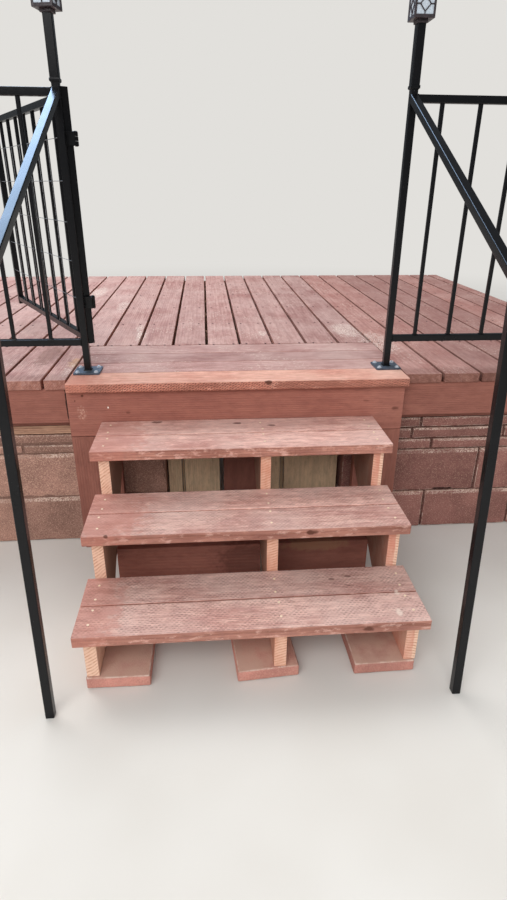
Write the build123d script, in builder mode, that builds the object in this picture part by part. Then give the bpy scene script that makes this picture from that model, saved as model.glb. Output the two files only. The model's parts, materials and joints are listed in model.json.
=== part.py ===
from build123d import *
from math import cos, hypot, radians, sin
import os

os.makedirs("parts", exist_ok=True)

# Lumber sizes, in millimetres
plank = 38.0
six_board = 140.0
eight_board = 184.0
post_side = 89.0
edge_round = 5.0

# Flight of three steps, from the ground up
flight_width = 1067.0
rise_1 = 221.0
rise_2 = 178.0
rise_3 = 174.0
rise_4 = 160.0
going_1 = 254.0
going_2 = 262.0
going_3 = 284.0
tread_gap = 3.0
foot_overhang = 28.0
riser_clearance = 2.0
stringer_throat = 140.0
stringer_inset = 23.5
middle_stringer_x = 80.0

# Concrete pavers under the stringers
paver_width = 194.0
paver_length = 397.0
paver_thickness = 45.0
paver_lead = 20.0
left_paver_shift = 76.0
middle_paver_shift = -51.0
right_paver_shift = -83.0
left_paver_turn = -0.5
middle_paver_turn = 4.5
right_paver_turn = 1.0

# Landing let into the front of the deck
landing_length = 1312.0
landing_x = 6.0
landing_overhang = 24.0
landing_rows = 4
landing_gap = 3.0
landing_left_gap = 8.0
landing_right_gap = 3.0
fascia_end_setback = 1.0

# Deck
deck_width = 3658.0
deck_depth = 2816.0
deck_board = 145.0
deck_gap = 11.0
deck_line_x = 36.0
deck_end_gap = 4.0
board_end_overhang = 9.0
side_overhang = 10.0
joist_bays = 5
landing_blocks = 5
deck_post_columns = 4
deck_post_span = 2700.0

# Block skirt around the deck
skirt_thickness = 194.0
skirt_setback = 27.0
left_skirt_reach = 300.0
right_skirt_reach = 440.0
sill_height = 20.0
sill_depth = 140.0

# Pieces that show between the treads
centre_post_x = 6.0
kick_board_y = 500.0
panel_thickness = 12.0
panel_y = 905.0
left_panel_low_x = -297.0
left_panel_high_x = -78.0
right_panel_low_x = 186.0
right_panel_high_x = 430.0

# Steel guard rails
tube = 25.4
picket = 14.0
newel_left_inset = 60.0
newel_right_inset = 51.0
newel_back = 142.0
base_plate = 102.0
base_plate_thickness = 6.0
rail_top = 963.0
bottom_rail_centre = 118.0
left_first_picket = 128.0
right_first_picket = 107.0
picket_pitch = 138.0
end_post_inset = 50.0
sleeve = 30.0
sleeve_clearance = 14.0
lantern_lift = 210.0

# Sloped handrails and their lower posts, which lean back
lower_post_left_shift = -12.0
lower_post_right_shift = -2.0
lower_post_lead = 66.0
lower_post_lean = 83.0
lower_rail_top = 1214.0

# Post-top lanterns
lantern_side = 70.0
lantern_body_height = 90.0
lantern_eave = 92.0
lantern_eave_height = 6.0
lantern_roof_height = 44.0
lantern_knob = 14.0
lantern_left_turn = -14.0
lantern_right_turn = 0.0

# Gate between the newels
gate_open_angle = 119.0
gate_side_gap = 5.0
latch_gap = 25.0
gate_pickets = 7
gate_foot = 15.0
gate_stile_top = 971.0
gate_rail_top = 956.0
hinge_offset = 28.0
hinge_setback = 20.5
knuckle_radius = 8.0
pin_radius = 4.0
pin_clearance = 0.3
knuckle_height = 14.0
knuckle_gap = 1.0
hinge_plate_reach = 36.0
hinge_plate_thickness = 3.2
lower_hinge_height = 265.0
upper_hinge_height = 817.0

# Heights worked out from the sizes above
tread_top_1 = rise_1
tread_top_2 = rise_1 + rise_2
tread_top_3 = rise_1 + rise_2 + rise_3
deck_top = tread_top_3 + rise_4
frame_top = deck_top - plank
frame_bottom = frame_top - six_board
fascia_bottom = frame_top - eight_board
skirt_top = frame_bottom - sill_height

# Depths, with the origin in the middle of the footprint
tread_depth = 2 * six_board + tread_gap
total_depth = tube / 2 + lower_post_lead + going_1 + going_2 + going_3 + deck_depth
tread_y_1 = tube / 2 + lower_post_lead - total_depth / 2
tread_y_2 = tread_y_1 + going_1
tread_y_3 = tread_y_2 + going_2
fascia_y = tread_y_3 + going_3
rim_y = fascia_y + plank
deck_back = fascia_y + deck_depth
landing_front = fascia_y - landing_overhang
landing_depth = landing_rows * six_board + (landing_rows - 1) * landing_gap
landing_back = landing_front + landing_depth
newel_y = fascia_y + newel_back
lower_post_y = tread_y_1 - lower_post_lead
skirt_y = rim_y + skirt_setback

# Widths
half_flight = flight_width / 2
half_deck = deck_width / 2
frame_half = half_deck - side_overhang
stringer_x = half_flight - stringer_inset - plank / 2
landing_left = landing_x - landing_length / 2
landing_right = landing_x + landing_length / 2
notch_left = landing_left - landing_left_gap
notch_right = landing_right + landing_right_gap
half_fascia = landing_length / 2 - fascia_end_setback
deck_pitch = deck_board + deck_gap
newel_left_x = landing_left + newel_left_inset
newel_right_x = landing_right - newel_right_inset
lower_post_left_x = newel_left_x + lower_post_left_shift
lower_post_right_x = newel_right_x + lower_post_right_shift


def finish(part, name):
    """Label a finished piece and write it as a STEP file."""
    part.label = name
    export_step(part, "parts/" + name + ".step")


def add_bar(x_low, x_high, y_low, y_high, z_low, z_high):
    """Add a square-cut bar between two corners to the part being built."""
    centre = ((x_low + x_high) / 2, (y_low + y_high) / 2, (z_low + z_high) / 2)
    with Locations(centre):
        Box(x_high - x_low, y_high - y_low, z_high - z_low)


# Treads, two boards each
tread_places = {
    "tread_1": (tread_y_1, tread_top_1),
    "tread_2": (tread_y_2, tread_top_2),
    "tread_3": (tread_y_3, tread_top_3),
}
for name, (front, top) in tread_places.items():
    with BuildPart() as tread:
        for row in range(2):
            board_front = front + row * (six_board + tread_gap)
            add_bar(-half_flight, half_flight, board_front, board_front + six_board, top - plank, top)
    finish(tread.part, name)

# Stringers, cut in steps from one board each
foot_y = tread_y_1 + foot_overhang
riser_y_2 = tread_y_1 + tread_depth + riser_clearance
riser_y_3 = tread_y_2 + tread_depth + riser_clearance
seat_1 = tread_top_1 - plank
seat_2 = tread_top_2 - plank
seat_3 = tread_top_3 - plank
stringer_slope = (seat_2 - seat_1) / (riser_y_3 - riser_y_2)
throat_drop = stringer_throat * hypot(1, stringer_slope)
heel_y = riser_y_2 + (paver_thickness - seat_1 + throat_drop) / stringer_slope


def underside(y):
    """Height of a stringer's sloping lower edge."""
    return seat_1 - throat_drop + stringer_slope * (y - riser_y_2)


stringer_steps = [
    (foot_y, paver_thickness),
    (foot_y, seat_1),
    (riser_y_2, seat_1),
    (riser_y_2, seat_2),
    (riser_y_3, seat_2),
    (riser_y_3, seat_3),
    (fascia_y, seat_3),
]
plain_end = [(fascia_y, underside(fascia_y)), (heel_y, paver_thickness)]
tail_end = [
    (fascia_y, fascia_bottom),
    (rim_y, fascia_bottom),
    (rim_y, underside(rim_y)),
    (heel_y, paver_thickness),
]
stringers = {
    "stringer_left": (-stringer_x, plain_end),
    "stringer_middle": (middle_stringer_x, tail_end),
    "stringer_right": (stringer_x, plain_end),
}
for name, (x, end) in stringers.items():
    with BuildPart() as stringer:
        with BuildSketch(Plane.YZ.offset(x)):
            with BuildLine():
                Polyline(*stringer_steps, *end, close=True)
            make_face()
        extrude(amount=plank / 2, both=True)
    finish(stringer.part, name)

# Pavers under the feet
pavers = {
    "paver_left": (left_paver_shift - stringer_x, left_paver_turn),
    "paver_middle": (middle_stringer_x + middle_paver_shift, middle_paver_turn),
    "paver_right": (stringer_x + right_paver_shift, right_paver_turn),
}
for name, (x, turn) in pavers.items():
    paver_y = tread_y_1 + paver_lead + paver_length / 2
    with BuildPart() as paver:
        with Locations(Location((x, paver_y, paver_thickness / 2), (0, 0, turn))):
            Box(paver_width, paver_length, paver_thickness)
    finish(paver.part, name)

# Landing boards, with the rounded nosing board in front
with BuildPart() as nosing_board:
    add_bar(landing_left, landing_right, landing_front, landing_front + six_board, frame_top, deck_top)
    front_edges = nosing_board.edges().filter_by(Axis.X).group_by(Axis.Y)[0]
    fillet(front_edges, edge_round)
finish(nosing_board.part, "nosing_board")

with BuildPart() as landing_boards:
    for row in range(1, landing_rows):
        board_front = landing_front + row * (six_board + landing_gap)
        add_bar(landing_left, landing_right, board_front, board_front + six_board, frame_top, deck_top)
finish(landing_boards.part, "landing_boards")

# Fascia under the nosing, and the corner boards that stand below its ends
with BuildPart() as landing_fascia:
    add_bar(-half_fascia, half_fascia, fascia_y, rim_y, fascia_bottom, frame_top)
finish(landing_fascia.part, "landing_fascia")

with BuildPart() as corner_board_left:
    add_bar(-half_fascia, -half_fascia + eight_board, fascia_y, rim_y, 0, fascia_bottom)
finish(corner_board_left.part, "corner_board_left")

with BuildPart() as corner_board_right:
    add_bar(half_fascia - eight_board, half_fascia, fascia_y, rim_y, 0, fascia_bottom)
finish(corner_board_right.part, "corner_board_right")

# Deck boards in three fields; those beside the landing run further forward
side_front = rim_y - board_end_overhang
middle_front = landing_back + deck_end_gap
first_line = deck_line_x - deck_pitch * ((half_deck + deck_line_x) // deck_pitch + 1)
board_lefts = []
board_left = first_line + deck_gap / 2
while board_left < half_deck - deck_gap:
    board_lefts.append(board_left)
    board_left = board_left + deck_pitch


def add_deck_board(low, high, front):
    """Add one deck board, ripped where the deck's side cuts it."""
    low = max(low, -half_deck)
    high = min(high, half_deck)
    add_bar(low, high, front, deck_back, frame_top, deck_top)


with BuildPart() as deck_boards_left:
    for low in board_lefts:
        high = low + deck_board
        if high <= notch_left and high > -half_deck + deck_gap:
            add_deck_board(low, high, side_front)
        elif low < notch_left < high:
            add_deck_board(low, notch_left, side_front)
            add_bar(notch_left, high, middle_front, deck_back, frame_top, deck_top)
finish(deck_boards_left.part, "deck_boards_left")

with BuildPart() as deck_boards_middle:
    for low in board_lefts:
        if low >= notch_left and low + deck_board <= notch_right:
            add_deck_board(low, low + deck_board, middle_front)
finish(deck_boards_middle.part, "deck_boards_middle")

with BuildPart() as deck_boards_right:
    for low in board_lefts:
        high = low + deck_board
        if low >= notch_right:
            add_deck_board(low, high, side_front)
        elif low < notch_right < high:
            add_deck_board(notch_right, high, side_front)
            add_bar(low, notch_right, middle_front, deck_back, frame_top, deck_top)
finish(deck_boards_right.part, "deck_boards_right")

# Deck frame
with BuildPart() as rim_joist_front:
    add_bar(-frame_half, frame_half, rim_y, rim_y + plank, frame_bottom, frame_top)
finish(rim_joist_front.part, "rim_joist_front")

with BuildPart() as wall_ledger:
    add_bar(-frame_half, frame_half, deck_back - plank, deck_back, frame_bottom, frame_top)
finish(wall_ledger.part, "wall_ledger")

side_rim_front = rim_y + plank
side_rim_back = deck_back - plank
with BuildPart() as rim_joist_left:
    add_bar(-frame_half, plank - frame_half, side_rim_front, side_rim_back, frame_bottom, frame_top)
finish(rim_joist_left.part, "rim_joist_left")

with BuildPart() as rim_joist_right:
    add_bar(frame_half - plank, frame_half, side_rim_front, side_rim_back, frame_bottom, frame_top)
finish(rim_joist_right.part, "rim_joist_right")

joist_half = frame_half - plank
first_joist_y = landing_back + deck_end_gap / 2
joist_pitch = (deck_back - plank / 2 - first_joist_y) / joist_bays
joist_ys = [first_joist_y + bay * joist_pitch for bay in range(joist_bays)]
with BuildPart() as deck_joists:
    for y in joist_ys:
        add_bar(-joist_half, joist_half, y - plank / 2, y + plank / 2, frame_bottom, frame_top)
finish(deck_joists.part, "deck_joists")

block_span = landing_length - eight_board
block_back = first_joist_y - plank / 2
with BuildPart() as landing_blocking:
    for block in range(landing_blocks):
        x = landing_x + block_span * (block / (landing_blocks - 1) - 1 / 2)
        add_bar(x - plank / 2, x + plank / 2, side_rim_front, block_back, frame_bottom, frame_top)
finish(landing_blocking.part, "landing_blocking")

with BuildPart() as deck_posts:
    for y in (joist_ys[0], joist_ys[2], joist_ys[4]):
        for column in range(deck_post_columns):
            x = deck_post_span * (column / (deck_post_columns - 1) - 1 / 2)
            half = post_side / 2
            add_bar(x - half, x + half, y - half, y + half, 0, frame_bottom)
finish(deck_posts.part, "deck_posts")

# Block skirts and the sill boards on them
skirt_half = frame_half - skirt_setback
skirt_back = skirt_y + skirt_thickness
skirts = {
    "block_skirt_left": (-skirt_half, -left_skirt_reach, skirt_y, skirt_back),
    "block_skirt_right": (right_skirt_reach, skirt_half, skirt_y, skirt_back),
    "side_skirt_left": (-skirt_half, skirt_thickness - skirt_half, skirt_back, deck_back - plank),
    "side_skirt_right": (skirt_half - skirt_thickness, skirt_half, skirt_back, deck_back - plank),
}
for name, (x_low, x_high, y_low, y_high) in skirts.items():
    with BuildPart() as skirt:
        add_bar(x_low, x_high, y_low, y_high, 0, skirt_top)
    finish(skirt.part, name)

with BuildPart() as sill_boards:
    add_bar(-skirt_half, -left_skirt_reach, skirt_y, skirt_y + sill_depth, skirt_top, frame_bottom)
    add_bar(right_skirt_reach, skirt_half, skirt_y, skirt_y + sill_depth, skirt_top, frame_bottom)
    add_bar(-skirt_half, sill_depth - skirt_half, skirt_back, side_rim_back, skirt_top, frame_bottom)
    add_bar(skirt_half - sill_depth, skirt_half, skirt_back, side_rim_back, skirt_top, frame_bottom)
finish(sill_boards.part, "sill_boards")

# Post, boards and panels behind the open risers
with BuildPart() as centre_post:
    half = six_board / 2
    add_bar(centre_post_x - half, centre_post_x + half, rim_y, rim_y + plank, 0, frame_bottom)
finish(centre_post.part, "centre_post")

kick_y = tread_y_1 + kick_board_y
inner_stringer = stringer_x - plank / 2
with BuildPart() as kick_boards:
    add_bar(-inner_stringer, middle_stringer_x - plank / 2, kick_y, kick_y + plank, 0, eight_board)
    add_bar(middle_stringer_x + plank / 2, inner_stringer, kick_y, kick_y + plank, 0, eight_board)
finish(kick_boards.part, "kick_boards")

panel_front = tread_y_1 + panel_y
with BuildPart() as siding_panels:
    for x_low, x_high in ((left_panel_low_x, left_panel_high_x), (right_panel_low_x, right_panel_high_x)):
        add_bar(x_low, x_high, panel_front, panel_front + panel_thickness, 0, frame_bottom)
finish(siding_panels.part, "siding_panels")

# Hinge axis to the right of the left newel and behind it
newel_side = newel_left_x + tube / 2
newel_rear = newel_y + tube / 2
hinge_x = newel_side + hinge_offset
hinge_y = newel_rear + hinge_setback
hinge_centres = [deck_top + lower_hinge_height, deck_top + upper_hinge_height]
knuckle_step = knuckle_height + knuckle_gap
knuckle_reach = knuckle_radius + knuckle_gap
hinge_half = knuckle_step + knuckle_height / 2
rail_top_z = deck_top + rail_top
bottom_rail_z = deck_top + bottom_rail_centre
top_rail_z = rail_top_z - tube / 2
sleeve_bottom = rail_top_z + sleeve_clearance
newel_top = rail_top_z + lantern_lift


def add_newel(x):
    """Add a base plate, a tube and the wider sleeve that holds the lantern."""
    with Locations((x, newel_y, deck_top + base_plate_thickness / 2)):
        Box(base_plate, base_plate, base_plate_thickness)
    half = tube / 2
    add_bar(x - half, x + half, newel_y - half, newel_y + half, deck_top, sleeve_bottom)
    half = sleeve / 2
    add_bar(x - half, x + half, newel_y - half, newel_y + half, sleeve_bottom, newel_top)


with BuildPart() as newel_left:
    add_newel(newel_left_x)
    strap_left = newel_left_x - tube / 2
    strap_back = newel_rear + hinge_plate_thickness
    wing_left = hinge_x - hinge_plate_thickness
    for centre in hinge_centres:
        add_bar(strap_left, hinge_x, newel_rear, strap_back, centre - hinge_half, centre + hinge_half)
        for side in (-1, 1):
            z = centre + side * knuckle_step
            add_bar(wing_left, hinge_x, strap_back, hinge_y, z - knuckle_height / 2, z + knuckle_height / 2)
            with Locations((hinge_x, hinge_y, z)):
                Cylinder(knuckle_radius, knuckle_height)
        with Locations((hinge_x, hinge_y, centre)):
            Cylinder(pin_radius, 2 * hinge_half)
finish(newel_left.part, "newel_left")

with BuildPart() as newel_right:
    add_newel(newel_right_x)
finish(newel_right.part, "newel_right")

# Side rails with their pickets, and the posts at the deck's corners
end_post_x = half_deck - end_post_inset
side_rails = {
    "side_rail_left": (newel_left_x, left_first_picket, -1),
    "side_rail_right": (newel_right_x, right_first_picket, 1),
}
for name, (newel_x, first_picket, side) in side_rails.items():
    start = newel_x + side * tube / 2
    stop = side * (end_post_x - tube / 2)
    with BuildPart() as side_rail:
        for z in (bottom_rail_z, top_rail_z):
            with Locations(((start + stop) / 2, newel_y, z)):
                Box(abs(stop - start), tube, tube)
        x = newel_x + side * first_picket
        while abs(x) < abs(stop) - picket_pitch / 2:
            with Locations((x, newel_y, (bottom_rail_z + top_rail_z) / 2)):
                Box(picket, picket, top_rail_z - bottom_rail_z)
            x = x + side * picket_pitch
    finish(side_rail.part, name)

end_posts = {"end_post_left": -end_post_x, "end_post_right": end_post_x}
for name, x in end_posts.items():
    with BuildPart() as end_post:
        add_bar(x - tube / 2, x + tube / 2, newel_y - tube / 2, newel_y + tube / 2, deck_top, rail_top_z)
        with Locations((x, newel_y, deck_top + base_plate_thickness / 2)):
            Box(base_plate, base_plate, base_plate_thickness)
    finish(end_post.part, name)

# Sloped handrails down to the lower posts
lower_front = lower_post_y - tube / 2
lower_back = lower_post_y + tube / 2
rail_foot_y = lower_front + lower_post_lean
handrail_run = newel_y - tube / 2 - rail_foot_y
handrail_rise = rail_top_z - lower_rail_top
handrail_slope = handrail_rise / handrail_run
handrail_drop = tube * hypot(1, handrail_slope)
handrails = {
    "handrail_left": (lower_post_left_x, newel_left_x),
    "handrail_right": (lower_post_right_x, newel_right_x),
}
for name, (low_x, high_x) in handrails.items():
    run = Vector(high_x - low_x, handrail_run, handrail_rise)
    foot = Plane(
        origin=(low_x, rail_foot_y, lower_rail_top - handrail_drop / 2),
        x_dir=(1, 0, 0),
        z_dir=(0, -1, 0),
    )
    with BuildPart() as handrail:
        with BuildSketch(foot):
            Rectangle(tube, handrail_drop)
        extrude(amount=run.length, dir=run.normalized())
    finish(handrail.part, name)

lower_posts = {"lower_post_left": lower_post_left_x, "lower_post_right": lower_post_right_x}
post_top_front = lower_rail_top - handrail_drop
post_top_back = post_top_front + handrail_slope * tube
post_outline = [
    (lower_front, 0),
    (lower_back, 0),
    (rail_foot_y + tube, post_top_back),
    (rail_foot_y, post_top_front),
]
for name, x in lower_posts.items():
    with BuildPart() as lower_post:
        with BuildSketch(Plane.YZ.offset(x)):
            with BuildLine():
                Polyline(*post_outline, close=True)
            make_face()
        extrude(amount=tube / 2, both=True)
    finish(lower_post.part, name)

# Lanterns on the newels, the left one turned a little
lanterns = {
    "lantern_left": (newel_left_x, lantern_left_turn),
    "lantern_right": (newel_right_x, lantern_right_turn),
}
for name, (x, turn) in lanterns.items():
    body_plane = Plane((x, newel_y, newel_top)).rotated((0, 0, turn))
    eave_plane = body_plane.offset(lantern_body_height)
    roof_plane = eave_plane.offset(lantern_eave_height)
    knob_plane = roof_plane.offset(lantern_roof_height)
    with BuildPart() as lantern:
        with BuildSketch(body_plane):
            Rectangle(lantern_side, lantern_side)
        extrude(amount=lantern_body_height)
        with BuildSketch(eave_plane):
            Rectangle(lantern_eave, lantern_eave)
        extrude(amount=lantern_eave_height)
        with BuildSketch(roof_plane):
            Rectangle(lantern_eave, lantern_eave)
        with BuildSketch(knob_plane):
            Rectangle(lantern_knob, lantern_knob)
        loft()
    finish(lantern.part, name)

# Gate, hung on the hinge pins and swung open over the deck
gate_plane = Plane(
    origin=(hinge_x, hinge_y, 0),
    x_dir=(cos(radians(gate_open_angle)), sin(radians(gate_open_angle)), 0),
    z_dir=(0, 0, 1),
)
leaf_y = knuckle_radius + tube / 2
leaf_end = newel_right_x - tube / 2 - latch_gap - hinge_x
leaf_length = leaf_end - gate_side_gap
leaf_centre = (leaf_end + gate_side_gap) / 2
stile_top = deck_top + gate_stile_top
hinge_stile_foot = bottom_rail_z - tube / 2
latch_stile_foot = hinge_stile_foot - gate_foot
gate_top_rail_z = deck_top + gate_rail_top - tube / 2
picket_z = (bottom_rail_z + gate_top_rail_z) / 2
gate_stiles = [
    (gate_side_gap + tube / 2, hinge_stile_foot),
    (leaf_end - tube / 2, latch_stile_foot),
]
with BuildPart(gate_plane) as gate_leaf:
    for x, foot_z in gate_stiles:
        with Locations((x, leaf_y, (foot_z + stile_top) / 2)):
            Box(tube, tube, stile_top - foot_z)
    for z in (bottom_rail_z, gate_top_rail_z):
        with Locations((leaf_centre, leaf_y, z)):
            Box(leaf_length, tube, tube)
    gate_picket_pitch = (leaf_length - tube) / (gate_pickets + 1)
    for number in range(1, gate_pickets + 1):
        x = gate_side_gap + tube / 2 + number * gate_picket_pitch
        with Locations((x, leaf_y, picket_z)):
            Box(picket, picket, gate_top_rail_z - bottom_rail_z)
    plate_y = knuckle_radius - hinge_plate_thickness / 2
    plate_length = hinge_plate_reach - knuckle_reach
    for centre in hinge_centres:
        with Locations((knuckle_reach + plate_length / 2, plate_y, centre)):
            Box(plate_length, hinge_plate_thickness, 2 * hinge_half)
        with Locations((knuckle_reach / 2, plate_y, centre)):
            Box(knuckle_reach, hinge_plate_thickness, knuckle_height)
        with Locations((0, 0, centre)):
            Cylinder(knuckle_radius, knuckle_height)
        with Locations((0, 0, centre)):
            Cylinder(pin_radius + pin_clearance, knuckle_height, mode=Mode.SUBTRACT)
finish(gate_leaf.part, "gate_leaf")
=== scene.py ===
"""Wooden deck stairs: sawn boards, concrete blocks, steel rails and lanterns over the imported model."""

import json
import random
from math import atan2, pi, radians

import bpy
from bpy.props import FloatProperty, FloatVectorProperty, PointerProperty
from mathutils import Euler, Matrix, Vector


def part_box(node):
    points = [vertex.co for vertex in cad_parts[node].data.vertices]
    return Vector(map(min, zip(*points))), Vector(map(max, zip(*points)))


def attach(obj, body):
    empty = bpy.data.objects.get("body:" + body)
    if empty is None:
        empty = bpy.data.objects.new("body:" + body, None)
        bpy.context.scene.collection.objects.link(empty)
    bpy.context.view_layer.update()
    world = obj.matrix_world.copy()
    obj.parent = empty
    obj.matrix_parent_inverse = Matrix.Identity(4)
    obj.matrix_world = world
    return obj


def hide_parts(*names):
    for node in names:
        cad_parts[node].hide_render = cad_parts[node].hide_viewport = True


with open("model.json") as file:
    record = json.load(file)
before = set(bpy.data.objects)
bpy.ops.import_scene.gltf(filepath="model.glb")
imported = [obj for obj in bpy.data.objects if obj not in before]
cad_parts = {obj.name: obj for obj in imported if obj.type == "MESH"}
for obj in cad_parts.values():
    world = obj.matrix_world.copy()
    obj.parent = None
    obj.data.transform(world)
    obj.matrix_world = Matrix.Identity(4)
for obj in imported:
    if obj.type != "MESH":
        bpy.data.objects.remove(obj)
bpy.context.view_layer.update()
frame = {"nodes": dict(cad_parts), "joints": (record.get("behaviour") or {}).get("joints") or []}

bl_info = {
    "name": "Wooden Deck Stairs",
    "version": (1, 0, 0),
    "blender": (4, 5, 0),
    "location": "3D View > Sidebar > Deck Stairs",
    "description": "Dresses the deck stairs with sawn boards, concrete blocks, steel rails and lanterns",
    "category": "Object",
}

ROOT = "deck_stairs"
GATE = "gate"
TUBE = 0.0254
HALF_TUBE = TUBE / 2
PICKET = 0.014
PICKETS = 7
chance = random.Random(41)


def shade(red, green, blue):
    """A paint colour given in the usual 0 to 255 steps, as linear light."""
    return tuple(((value / 255 + 0.055) / 1.055) ** 2.4 for value in (red, green, blue))


def length(name, default, description):
    """A size property in metres."""
    return FloatProperty(name=name, default=default, min=0.0, precision=4, subtype="DISTANCE",
                         unit="LENGTH", description=description)


def paint(name, default, description):
    """A colour property."""
    return FloatVectorProperty(name=name, default=default, size=3, min=0.0, max=1.0, subtype="COLOR",
                               description=description)


class TimberSizes(bpy.types.PropertyGroup):
    edge_round: length("Edge round", 0.004, "Radius of the boards' long edges")
    nosing_round: length("Nosing round", 0.008, "Radius of the nosing board's front edges")
    end_round: length("End round", 0.0015, "Radius of the boards' sawn ends")
    wave: length("Wave", 0.0014, "How far a board's faces dip below its sawn size")
    cut_step: length("Cut step", 0.09, "Spacing of the cuts along a board")
    screw_head: length("Screw head", 0.0075, "Diameter of a deck screw's head")
    screw_stand: length("Screw stand", 0.0006, "How far a screw's head stands above the board")


class MasonrySizes(bpy.types.PropertyGroup):
    block: length("Block length", 0.397, "Length of a concrete block")
    joint: length("Joint", 0.004, "Width of the dry joint between blocks")
    arris: length("Arris", 0.005, "Width of a block's worn edge")
    chip: length("Chip", 0.006, "Depth of the chips along a block's edges")
    grit: length("Grit", 0.0022, "Depth of the blocks' rough face")


class SteelSizes(bpy.types.PropertyGroup):
    corner: length("Tube corner", 0.0028, "Radius of a steel tube's corners")
    weld: length("Weld", 0.0035, "Size of a weld bead")
    bolt_head: length("Bolt head", 0.0110, "Width across a lag bolt's head")
    bolt_inset: length("Bolt inset", 0.015, "Distance of a bolt from the plate's edges")
    wire: length("Wire", 0.0022, "Diameter of the gate's mesh wire")
    mesh_step: length("Mesh step", 0.14, "Spacing of the mesh's wires")
    muntin: length("Muntin", 0.003, "Width of a lantern's thin bars")
    lantern_post: length("Lantern post", 0.007, "Width of a lantern's corner posts")
    lantern_half: length("Lantern half", 0.035, "Half of a lantern's width")
    lantern_body: length("Lantern body", 0.090, "Height of a lantern's glass body")
    lantern_lid: length("Lantern lid", 0.046, "Half of the width of a lantern's lid")


class StairColours(bpy.types.PropertyGroup):
    deck_light: paint("Deck light", shade(196, 157, 150), "Dusty worn stain on the deck boards")
    deck_dark: paint("Deck dark", shade(160, 111, 103), "Deeper stain on the deck boards")
    tread_light: paint("Tread light", shade(240, 196, 182), "Dusty stain on the treads")
    tread_dark: paint("Tread dark", shade(196, 138, 126), "Deeper stain on the treads")
    edge_light: paint("Edge light", shade(208, 149, 131), "Stain on the boards' front edges")
    edge_dark: paint("Edge dark", shade(160, 106, 91), "Deeper stain on the boards' front edges")
    nosing_light: paint("Nosing light", shade(236, 182, 162), "Fresh stain on the nosing board")
    nosing_dark: paint("Nosing dark", shade(204, 134, 114), "Deeper stain on the nosing board")
    fascia_light: paint("Fascia light", shade(172, 112, 97), "Stain on the fascia and rims")
    fascia_dark: paint("Fascia dark", shade(156, 98, 85), "Deeper stain on the fascia and rims")
    pine_light: paint("Pine light", shade(252, 214, 188), "Raw pine of the stringers")
    pine_dark: paint("Pine dark", shade(206, 146, 118), "Ring lines of the raw pine")
    timber_light: paint("Timber light", shade(206, 164, 138), "Plain sawn frame timber")
    timber_dark: paint("Timber dark", shade(160, 120, 98), "Ring lines of the frame timber")
    siding: paint("Siding", shade(222, 192, 158), "Old beige siding panels")
    block_left: paint("Left blocks", shade(166, 126, 112), "Plain pinkish blocks")
    block_right: paint("Right blocks", shade(150, 103, 95), "Blocks splashed with stain")
    paver: paint("Paver", shade(216, 150, 136), "Red concrete pavers")
    paver_dust: paint("Paver dust", shade(208, 172, 154), "Dust on top of the pavers")
    chips: paint("Chips", shade(226, 200, 184), "Fresh chipped concrete")
    grains: paint("Grains", shade(216, 178, 156), "Pale grains of sand in the concrete")
    steel: paint("Steel", shade(22, 22, 24), "Black paint on the steel")
    plate: paint("Base plate", shade(84, 94, 108), "Worn paint on the base plates")
    # The zinc is near white and a little blue: partly the zinc's own pale colour, partly a painted reflection
    # on the bolts.
    zinc: paint("Zinc", shade(226, 232, 240), "Bright bolts and wires")
    bronze: paint("Bronze", shade(62, 52, 56), "Dark frame of the lanterns")
    glass: paint("Glass", shade(206, 216, 226), "Pale glass of the lanterns")


def settings():
    """The scene's sizes and colours, as a user set them."""
    scene = bpy.context.scene
    return scene.stair_timber, scene.stair_masonry, scene.stair_steel, scene.stair_colours


# Modelling steps that several pieces share

def select_only(*pieces):
    """Select these pieces and nothing else, the first one active."""
    bpy.ops.object.select_all(action="DESELECT")
    for piece in pieces:
        piece.select_set(True)
    bpy.context.view_layer.objects.active = pieces[0]


def settle(piece, name):
    """Put a new primitive's place, turn and size into its mesh, and name it."""
    select_only(piece)
    bpy.ops.object.transform_apply(location=True, rotation=True, scale=True)
    piece.name = name
    return piece


def add(name, primitive, **values):
    """A new primitive with its place in its mesh."""
    bpy.ops.object.select_all(action="DESELECT")
    primitive(**values)
    return settle(bpy.context.object, name)


def add_bar(name, low, high):
    """A square bar between two corners."""
    low, high = Vector(low), Vector(high)
    return add(name, bpy.ops.mesh.primitive_cube_add, size=1, location=(low + high) / 2, scale=high - low)


def add_strut(name, start, end, width):
    """A square bar from one point to another."""
    start, end = Vector(start), Vector(end)
    run = end - start
    return add(name, bpy.ops.mesh.primitive_cube_add, size=1, location=(start + end) / 2,
               scale=(run.length, width, width), rotation=run.to_track_quat("X", "Z").to_euler())


def add_round(name, centre, radius, height, sides=16, turn=(0, 0, 0)):
    """A short round bar about a centre."""
    return add(name, bpy.ops.mesh.primitive_cylinder_add, vertices=sides, radius=radius, depth=height,
               location=centre, rotation=turn)


def pick(piece, test, faces=False):
    """Enter edit mode with the edges picked by their two ends, or the faces by centre and normal."""
    select_only(piece)
    mesh = piece.data
    for group in (mesh.vertices, mesh.edges, mesh.polygons):
        group.foreach_set("select", [False] * len(group))
    if faces:
        for face in mesh.polygons:
            face.select = test(face.center, face.normal)
    else:
        for edge in mesh.edges:
            edge.select = test(*(mesh.vertices[index].co for index in edge.vertices))
    bpy.context.tool_settings.mesh_select_mode = (False, not faces, faces)
    bpy.ops.object.mode_set(mode="EDIT")


def leave_edit():
    """Back to object mode."""
    bpy.ops.object.mode_set(mode="OBJECT")


def everything(first, second):
    """A test that all edges or faces pass."""
    return True


def runs(axis, least):
    """A test for edges that run further along an axis than a length."""
    return lambda a, b: abs(a[axis] - b[axis]) > least


def soften(piece, width, test=everything, segments=2):
    """Round the edges that pass a test."""
    pick(piece, test)
    bpy.ops.mesh.bevel(offset_type="OFFSET", offset=width, segments=segments, affect="EDGES")
    leave_edit()
    return piece


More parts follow.
